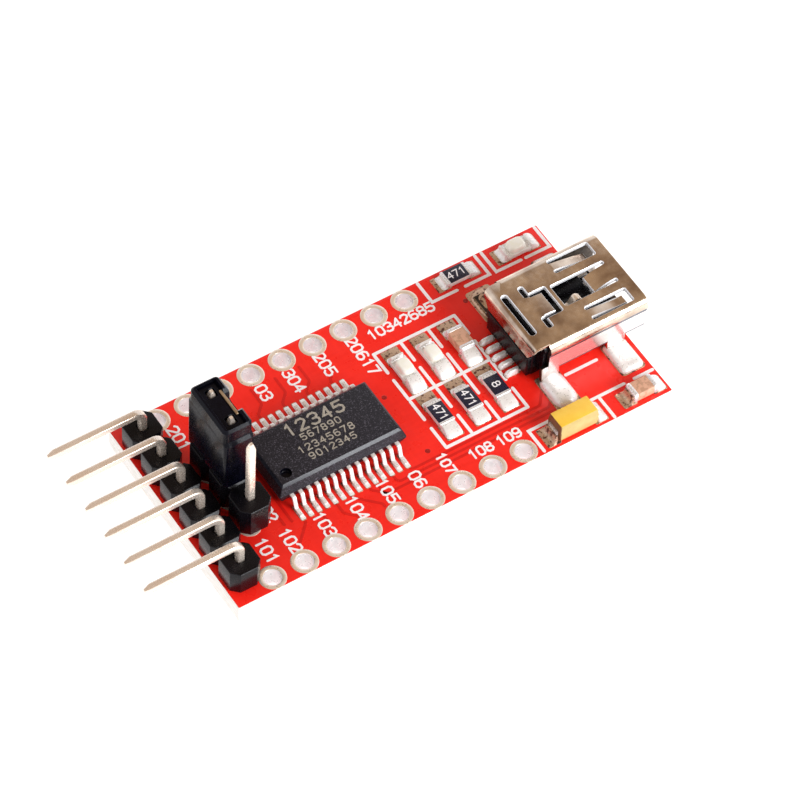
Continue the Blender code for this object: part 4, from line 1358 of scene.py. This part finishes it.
def make_usb_base():
    """The socket's insulator with its rear wall, tongue and two pegs, and a spring under the window."""
    bm = bmesh.new()
    add_loft(bm, [usb_ring(1.15, x) for x in (10.3, 12.8)])
    for xs, half, zs, corner, edge in INSULATOR_BLOCKS:
        add_block(bm, xs, about(0, half), zs, corner, edge)
    for centre in PEG_HOLES:
        add_loft(bm, [flat(circle(radius, 24, centre), z) for radius, z in PEG_PROFILE])
    make_piece("socket_insulator", bm, ["black"], replaces=["usb_insulator"])
    spring = bmesh.new()
    path = fillet([(x, SPRING_Y, z) for x, z in SPRING_ROUTE], 0.3, 5)
    add_sweep(spring, path, (0, 1, 0), strip_section(0.56, 0.12, 0.03))
    make_piece("socket_spring", spring, ["ring"], smooth=40)


PAD_CORNER = 0.1
PAD_EDGE = 0.02


def make_contact_solder():
    """A wedge of solder on each contact's foot."""
    bm = bmesh.new()
    for node in USB_CONTACTS:
        x = span(node)[0].x
        y = middle(node).y
        add_block(bm, (x - 0.42, x + 0.85), about(y, 0.25), (0.0, PAD_TOP), PAD_CORNER, PAD_EDGE, 1)
        foot = flat(rounded_rectangle((x - 0.38, x + 0.75), about(y, 0.23), 0.2, 6), PAD_TOP - 0.01)
        top = flat(rounded_rectangle((x + 0.02, x + 0.72), about(y, 0.1), 0.09, 6), 0.42)
        add_fillet(bm, foot, top, fullness=0.85)
    make_piece("socket_contact_solder", bm, ["solder", "bare_pad"], smooth=60)


def make_tab_solder():
    """A mound over each of the shell's feet. The rear ones are rounder, the far one of them low and dull."""
    bm = bmesh.new()
    for x in USB_TAB_XS:
        for side in (-1, 1):
            rear = x < 12
            near_rear = rear and side < 0
            far_rear = rear and side > 0
            reach = 6.2 if near_rear else 5.9
            pad_ys = sorted((side * 2.9, side * reach))
            add_block(bm, about(x, 1.0), pad_ys, (0.0, PAD_TOP), 0.25, PAD_EDGE, 1)
            ys = sorted((side * 2.95, side * (reach - 0.08)))
            outline = rounded_rectangle(about(x, 0.92), ys, 0.9 if rear else 0.35, 8)
            height = 0.62 if near_rear else 0.3 if far_rear else 0.4
            add_dome(bm, outline, PAD_TOP - 0.01, height, int(far_rear), 9, 0.35 if rear else 0.6)
    make_piece("socket_tab_solder", bm, ["solder", "bare_pad"], smooth=60)


# ---- the chip


CHIP_DRAFT = 0.3
CHIP_WAIST = 0.09
DIMPLE_INSET = 1.15
DIMPLE_RADIUS = 0.42
# The dimple from its floor up, as (radius, height over the top).
DIMPLE_PROFILE = ((0.34, -0.3), (0.38, -0.27), (0.41, 0.0), (DIMPLE_RADIUS, 0.3))
CHIP_LEADS = [f"chip_lead_{i:02d}" for i in range(1, LEADS + 1)]
LEAD_SHEET = 0.15
LEAD_WIDTH = 0.3
LEAD_FOOT = 0.72
LEAD_SHOULDER = 0.34
LEAD_PAD_TOP = 0.03
# The rows of the mark: text, x, y, height, stroke width and the gap between numerals.
CHIP_MARK = (
    ("12345", -5.8, 1.08, 0.92, 0.17, 2.4),
    ("567890", -5.85, 0.12, 0.5, 0.09, 2.6),
    ("12345678", -5.95, -0.75, 0.52, 0.09, 2.6),
    ("9012345", -5.9, -1.53, 0.5, 0.09, 2.6),
)


def chip_profile():
    """(inset, z) pairs from the package's bottom to its top, with drafted sides and a bevel round the top."""
    low, high = span("chip_body")
    waist = (low.z + high.z) / 2
    levels = [(CHIP_DRAFT + 0.05, low.z), (CHIP_DRAFT, low.z + 0.04)]
    levels += [(0.01, waist - CHIP_WAIST - 0.01), (0.0, waist - CHIP_WAIST)]
    levels += [(0.0, waist + CHIP_WAIST), (0.01, waist + CHIP_WAIST + 0.01)]
    bevel = ((-0.06, 0.2), (0.09, 0.05), (0.12, 0.02), (0.18, 0.0))
    return levels + [(CHIP_DRAFT + inset, high.z - drop) for inset, drop in bevel]


def make_chip_body():
    low, high = span("chip_body")
    bm = bmesh.new()
    rings = []
    for inset, z in chip_profile():
        xs = shrunk((low.x, high.x), inset)
        ys = shrunk((low.y, high.y), inset)
        rings.append(flat(rounded_rectangle(xs, ys, 0.08, 3), z))
    add_loft(bm, rings)
    bm.normal_update()
    for face in bm.faces:
        if face.calc_center_median().z > high.z - 0.2 and 0.5 < face.normal.z < 0.85:
            face.material_index = 1
    materials = ["epoxy", "epoxy_edge", "cap_black"]
    chip = make_piece("chip_package", bm, materials, replaces=["chip_body"], smooth=20)
    x, y = low.x + DIMPLE_INSET, low.y + DIMPLE_INSET
    dimple = bmesh.new()
    add_loft(dimple, [flat(circle(r, 40, (x, y)), high.z + z) for r, z in DIMPLE_PROFILE])
    boolean(chip, dimple, smooth=20)
    for face in chip.data.polygons:
        here = (face.center - ORIGIN) / MM
        if here.z < high.z - 0.001 and math.hypot(here.x - x, here.y - y) < DIMPLE_RADIUS:
            face.material_index = 2


def make_chip_mark():
    """Rows of plain numbers on the chip's top, as marked by laser."""
    top = span("chip_body")[1].z
    bm = bmesh.new()
    for text, x, y, height, width, gap in CHIP_MARK:
        add_numerals(bm, text, (x, y), height, 0, width, top - 0.002, top + 0.006, gap)
    make_piece("chip_mark", bm, ["laser"], smooth=30)


def lead_ends(node):
    """A lead's middle in x, the way it points along y, where it starts and where it ends."""
    low, high = span(node)
    if middle(node).y < middle("chip_body").y:
        return (low.x + high.x) / 2, -1, high.y, low.y
    return (low.x + high.x) / 2, 1, low.y, high.y


def make_leads():
    """Each lead leaves the chip's waist, bends down and lies flat on its pad."""
    low, high = span("chip_body")
    waist = (low.z + high.z) / 2
    section = strip_section(LEAD_WIDTH, LEAD_SHEET, 0.03)
    for i, node in enumerate(CHIP_LEADS, 1):
        x, way, start, end = lead_ends(node)
        foot = span(node)[0].z + LEAD_SHEET / 2
        knee = start + way * LEAD_SHOULDER
        ankle = end - way * LEAD_FOOT
        points = [(x, start, waist), (x, knee, waist), (x, ankle, foot), (x, end, foot)]
        bm = bmesh.new()
        add_sweep(bm, fillet(points, 0.16, 5), (1, 0, 0), section)
        make_piece(f"lead_{i:02d}", bm, ["lead"], replaces=[node], smooth=40)


def make_lead_pads():
    """A pad under each lead's foot, with solder that rises to the foot's end."""
    bm = bmesh.new()
    for node in CHIP_LEADS:
        x, way, _, end = lead_ends(node)
        pad_ys = sorted((end + way * 0.35, end - way * 1.0))
        add_block(bm, about(x, 0.2), pad_ys, (0.0, LEAD_PAD_TOP), 0.08, 0.01, 1)
        foot_ys = sorted((end + way * 0.3, end - way * 0.5))
        top_ys = sorted((end - way * 0.06, end - way * 0.42))
        foot = flat(rounded_rectangle(about(x, 0.19), foot_ys, 0.1), LEAD_PAD_TOP)
        top = flat(rounded_rectangle(about(x, 0.12), top_ys, 0.05), 0.16)
        add_fillet(bm, foot, top, fullness=0.3)
    make_piece("lead_pads", bm, ["solder", "bare_pad"], smooth=60)


# ---- resistors, capacitors and lamps


class Part:
    """A two-ended part: its box, and the way that its length runs."""

    def __init__(self, node):
        self.node = node
        self.low, self.high = span(node)
        self.along_x = self.high.x - self.low.x > self.high.y - self.low.y
        self.centre = middle(node)
        size = self.high - self.low
        self.length = size.x if self.along_x else size.y
        self.width = size.y if self.along_x else size.x
        self.top = self.high.z

    def point(self, along, across, z):
        """A point given along and across the part from its middle."""
        if self.along_x:
            return (self.centre.x + along, self.centre.y + across, z)
        return (self.centre.x - across, self.centre.y + along, z)

    def block(self, bm, along, half_width, zs, corner=0.06, edge=0.03, index=0):
        """A block between two places along the part."""
        first = self.point(along[0], -half_width, 0)
        second = self.point(along[1], half_width, 0)
        xs = sorted((first[0], second[0]))
        ys = sorted((first[1], second[1]))
        return add_block(bm, xs, ys, zs, corner, edge, index)


# The nodes of each kind of part, with the number on each resistor.
RESISTORS = {"resistor_1": "471", "resistor_2": "471", "resistor_3": "8", "resistor_4": "471"}
CERAMICS = ["ceramic_capacitor_1", "ceramic_capacitor_2"]
LAMPS = ["led_tx", "led_rx", "led_power"]
TANTALUM = "tantalum_capacitor"
DULL_SOLDER = ("ceramic_capacitor_2", TANTALUM)

# How far a part's pads reach in under it and out past it, for a part along X or Y, then its solder's height
# and fullness.
PAD_INSIDE = 0.3
PAD_OUTSIDE_X = 0.8
PAD_OUTSIDE_Y = 1.15
MOST_SOLDER_RISE = 0.62
FULL_SOLDER = 0.75
THIN_SOLDER = 0.15

TERMINAL = 0.38
LAMP_TERMINAL = TERMINAL - 0.06
RESISTOR_TERMINAL = 0.24
RESISTOR_FIGURE_HEIGHT = 0.55
RESISTOR_FIGURE_WIDTH = 0.085
# The lens of a lamp from its foot up, as (share of its size, share of its height).
LENS_PROFILE = ((1.0, 0.0), (0.99, 0.3), (0.95, 0.6), (0.87, 0.82), (0.74, 0.94), (0.55, 1.0))
TANTALUM_TAB = 0.12
TANTALUM_WAIST = 0.9
TANTALUM_BAND = 0.22


def make_resistor(node, text):
    """White ceramic with black glaze on top and a metal cap round each end."""
    part = Part(node)
    half = part.length / 2
    side = part.width / 2
    low = part.low.z
    bare = half - RESISTOR_TERMINAL
    bm = bmesh.new()
    part.block(bm, about(0, half - 0.03), side - 0.02, (low + 0.01, part.top - 0.05))
    part.block(bm, about(0, bare + 0.04), side - 0.03, (part.top - 0.12, part.top - 0.008), 0.05, 0.03, 1)
    for way in (-1, 1):
        part.block(bm, sorted((way * half, way * bare)), side, (low, part.top - 0.01), 0.07, 0.05, 2)
    reading = 0 if part.along_x else -90
    place = (part.centre.x, part.centre.y)
    figure = (RESISTOR_FIGURE_HEIGHT, reading, RESISTOR_FIGURE_WIDTH)
    add_numerals(bm, text, place, *figure, part.top - 0.02, part.top - 0.002, 1.4, 3)
    materials = ["ceramic_white", "glaze", "tin", "print"]
    make_piece(node + "_detail", bm, materials, replaces=[node])


def make_ceramic(node):
    """A tan ceramic block with rounded metal ends."""
    part = Part(node)
    half = part.length / 2
    side = part.width / 2
    bm = bmesh.new()
    part.block(bm, about(0, half - 0.2), side - 0.03, (part.low.z + 0.02, part.top - 0.03), 0.08, 0.07)
    for way in (-1, 1):
        ends = sorted((way * half, way * (half - TERMINAL)))
        part.block(bm, ends, side, (part.low.z, part.top), 0.14, 0.12, 1)
    make_piece(node + "_detail", bm, ["ceramic_tan", "tin"], replaces=[node])


def make_lamp(node):
    """A lamp: a white base with metal ends and a pale block of resin on it."""
    part = Part(node)
    half = part.length / 2
    side = part.width / 2
    base = part.low.z + (part.top - part.low.z) * 0.42
    bm = bmesh.new()
    part.block(bm, about(0, half), side, (part.low.z, base))
    for way in (-1, 1):
        ends = sorted((way * half, way * (half - LAMP_TERMINAL)))
        part.block(bm, ends, side * 0.86, (part.low.z, base + 0.02), 0.05, 0.02, 1)
    reach = half - TERMINAL + 0.1
    across = side * 0.84
    foot = base - 0.01
    rings = []
    for share, rise in LENS_PROFILE:
        width = across * (1 - (1 - share) * 0.75)
        outline = rounded_rectangle(about(0, reach * share), about(0, width), 0.38 * share)
        rings.append([part.point(a, b, foot + (part.top - foot) * rise) for a, b in outline])
    add_loft(bm, rings, 2)
    make_piece(node + "_detail", bm, ["ceramic_white", "tin", "lens"], replaces=[node])


def make_tantalum(node):
    """A moulded yellow block with a dark band, over two folded metal tabs."""
    part = Part(node)
    half = part.length / 2 - TANTALUM_TAB
    side = part.width / 2
    bm = bmesh.new()
    levels = [(0.06, part.low.z + 0.08), (0.02, part.low.z + 0.12)]
    levels += [(0.0, TANTALUM_WAIST - 0.05), (0.0, TANTALUM_WAIST + 0.05)]
    levels += [(0.07, part.top - 0.1), (0.1, part.top - 0.03), (0.17, part.top)]
    rings = []
    for inset, z in levels:
        outline = rounded_rectangle(about(0, half - inset), about(0, side - inset), 0.08)
        rings.append([part.point(a, b, z) for a, b in outline])
    add_loft(bm, rings)
    section = strip_section(1.0, TANTALUM_TAB, 0.03)
    foot = 0.09
    for way in (-1, 1):
        end = way * (part.length / 2 - TANTALUM_TAB / 2)
        route = ((way * (half - 0.3), foot), (end, foot), (end, TANTALUM_WAIST))
        points = [part.point(along, 0, z) for along, z in route]
        add_sweep(bm, fillet(points, 0.1, 4), (0, 1, 0), section, index=1)
    materials = ["yellow", "tin", "brown_band", "shaded_yellow_side"]
    piece = make_piece("tantalum_detail", bm, materials, replaces=[node])
    band_end = part.low.x + TANTALUM_BAND
    for face in piece.data.polygons:
        if face.material_index == 0 and (face.center.x - ORIGIN.x) / MM < band_end:
            face.material_index = 2
        # The long sides take the darker yellow: painted shade.
        elif face.material_index == 0 and abs(face.normal.y) > 0.7:
            face.material_index = 3


def make_part_pads(nodes):
    """Two pads a part, with a fillet of solder from each up the part's end."""
    bm = bmesh.new()
    for node in nodes:
        part = Part(node)
        half = part.length / 2
        side = part.width / 2
        rise = min(part.top * 0.8, MOST_SOLDER_RISE)
        for way in (-1, 1):
            inner = half - PAD_INSIDE
            outer = half + (PAD_OUTSIDE_X if part.along_x else PAD_OUTSIDE_Y)
            ends = sorted((way * inner, way * outer))
            part.block(bm, ends, side + 0.06, (0.0, PAD_TOP), PAD_CORNER, PAD_EDGE, 1)
            full = way > 0 if part.along_x else way < 0
            swell = FULL_SOLDER if full else THIN_SOLDER
            foot_end = outer - 0.04 if full else half + 0.5
            foot_ends = sorted((way * (half - 0.06), way * foot_end))
            top_ends = sorted((way * (half - 0.04), way * (half + 0.12)))
            foot = rounded_rectangle(foot_ends, about(0, side + 0.02), 0.22)
            top = rounded_rectangle(top_ends, about(0, side * 0.8), 0.05)
            foot = [part.point(a, b, PAD_TOP - 0.01) for a, b in foot]
            top = [part.point(a, b, rise) for a, b in top]
            dull = not full and node in DULL_SOLDER
            add_fillet(bm, foot, top, int(dull), 8, swell)
    make_piece("part_pads", bm, ["solder", "bare_pad"], smooth=60)


def make_small_parts():
    for node, text in RESISTORS.items():
        make_resistor(node, text)
    for node in CERAMICS:
        make_ceramic(node)
    for node in LAMPS:
        make_lamp(node)
    make_tantalum(TANTALUM)
    make_part_pads([*RESISTORS, *CERAMICS, *LAMPS, TANTALUM])


# ---- stage


CAMERA_AZIMUTH = -35.86
CAMERA_ELEVATION = 53.38
CAMERA_DISTANCE = 302.7
CAMERA_ROLL = 3.93
CAMERA_LENS = 196.5
CAMERA_AIM = (0.92, 0.46, 0.0)
FLOOR_SIZE = 1.5
FLOOR_GLOW = 0.85
FLOOR_GAP = 0.00002


def make_floor():
    """A plain pale floor that the lowest pin tips touch."""
    bm = bmesh.new()
    bmesh.ops.create_grid(bm, x_segments=8, y_segments=8, size=FLOOR_SIZE)
    mesh = bpy.data.meshes.new("floor")
    bm.to_mesh(mesh)
    bm.free()
    material = new_material("pale_floor", (0.45, 0.45, 0.45), 0.7)
    pale = [(0.3, (0.44, 0.44, 0.44)), (0.7, (0.46, 0.46, 0.46))]
    feed(material, "Base Color", ramp(material, noise(material, 200.0), pale))
    shader_of(material).inputs["Emission Color"].default_value = (1.0, 1.0, 1.0, 1.0)
    shader_of(material).inputs["Emission Strength"].default_value = FLOOR_GLOW
    mesh.materials.append(material)
    floor = add_to_scene("floor", mesh)
    floor.location.z = CAD_BOX[0][2] - FLOOR_GAP


def direction(azimuth, elevation):
    """The way to a place at an azimuth and an elevation in degrees. Azimuth 0 is the board's -Y side."""
    a = math.radians(azimuth)
    e = math.radians(elevation)
    return Vector((math.sin(a) * math.cos(e), -math.cos(a) * math.cos(e), math.sin(e)))


def add_light(name, azimuth, elevation, distance, size, power, colour):
    """An area light that looks at the board."""
    data = bpy.data.lights.new(name, "AREA")
    data.shape = "DISK"
    data.size = size
    data.energy = power
    data.color = colour
    light = add_to_scene(name, data)
    way = direction(azimuth, elevation)
    light.location = ORIGIN + way * distance
    light.rotation_euler = way.to_track_quat("Z", "Y").to_euler()


def make_world():
    """Pale all round, and darker and warmer overhead, as a studio's ceiling is."""
    world = bpy.data.worlds.new("studio")
    bpy.context.scene.world = world
    world.use_nodes = True
    nodes = world.node_tree.nodes
    links = world.node_tree.links
    coordinates = nodes.new("ShaderNodeTexCoord")
    split = nodes.new("ShaderNodeSeparateXYZ")
    colours = nodes.new("ShaderNodeValToRGB")
    elements = colours.color_ramp.elements
    elements[0].position = 0.56
    elements[0].color = (0.98, 0.99, 1.04, 1.0)
    elements[1].position = 0.74
    elements[1].color = (0.42, 0.30, 0.20, 1.0)
    links.new(coordinates.outputs["Generated"], split.inputs["Vector"])
    links.new(split.outputs["Z"], colours.inputs["Fac"])
    links.new(colours.outputs["Color"], nodes["Background"].inputs["Color"])
    nodes["Background"].inputs["Strength"].default_value = 1.0


def make_camera():
    data = bpy.data.cameras.new("camera")
    data.lens = CAMERA_LENS
    data.sensor_width = 36.0
    data.clip_start = 0.01
    data.clip_end = 10.0
    camera = add_to_scene("camera", data)
    way = direction(CAMERA_AZIMUTH, CAMERA_ELEVATION)
    camera.location = TO_ROW @ Vector(CAMERA_AIM) + way * CAMERA_DISTANCE * MM
    facing = way.to_track_quat("Z", "Y").to_matrix()
    camera.rotation_euler = (facing @ Matrix.Rotation(math.radians(CAMERA_ROLL), 3, "Z")).to_euler()
    bpy.context.scene.camera = camera


def make_stage():
    make_floor()
    make_world()
    add_light("key", azimuth=27, elevation=31, distance=0.6, size=0.32, power=3.1, colour=(0.95, 0.97, 1.0))
    make_camera()
    bpy.context.scene.view_settings.view_transform = "Standard"


# ---- everything


make_board()
make_plating()
make_pin_solder()
make_print()
make_print_below()
make_tracks()
make_tracks_below()
make_vias()
make_headers()
make_cap()
make_pin_guide()
make_clip()
make_usb_body()
make_usb_base()
make_usb_contacts()
make_contact_solder()
make_tab_solder()
make_chip_body()
make_chip_mark()
make_leads()
make_lead_pads()
make_small_parts()
make_stage()
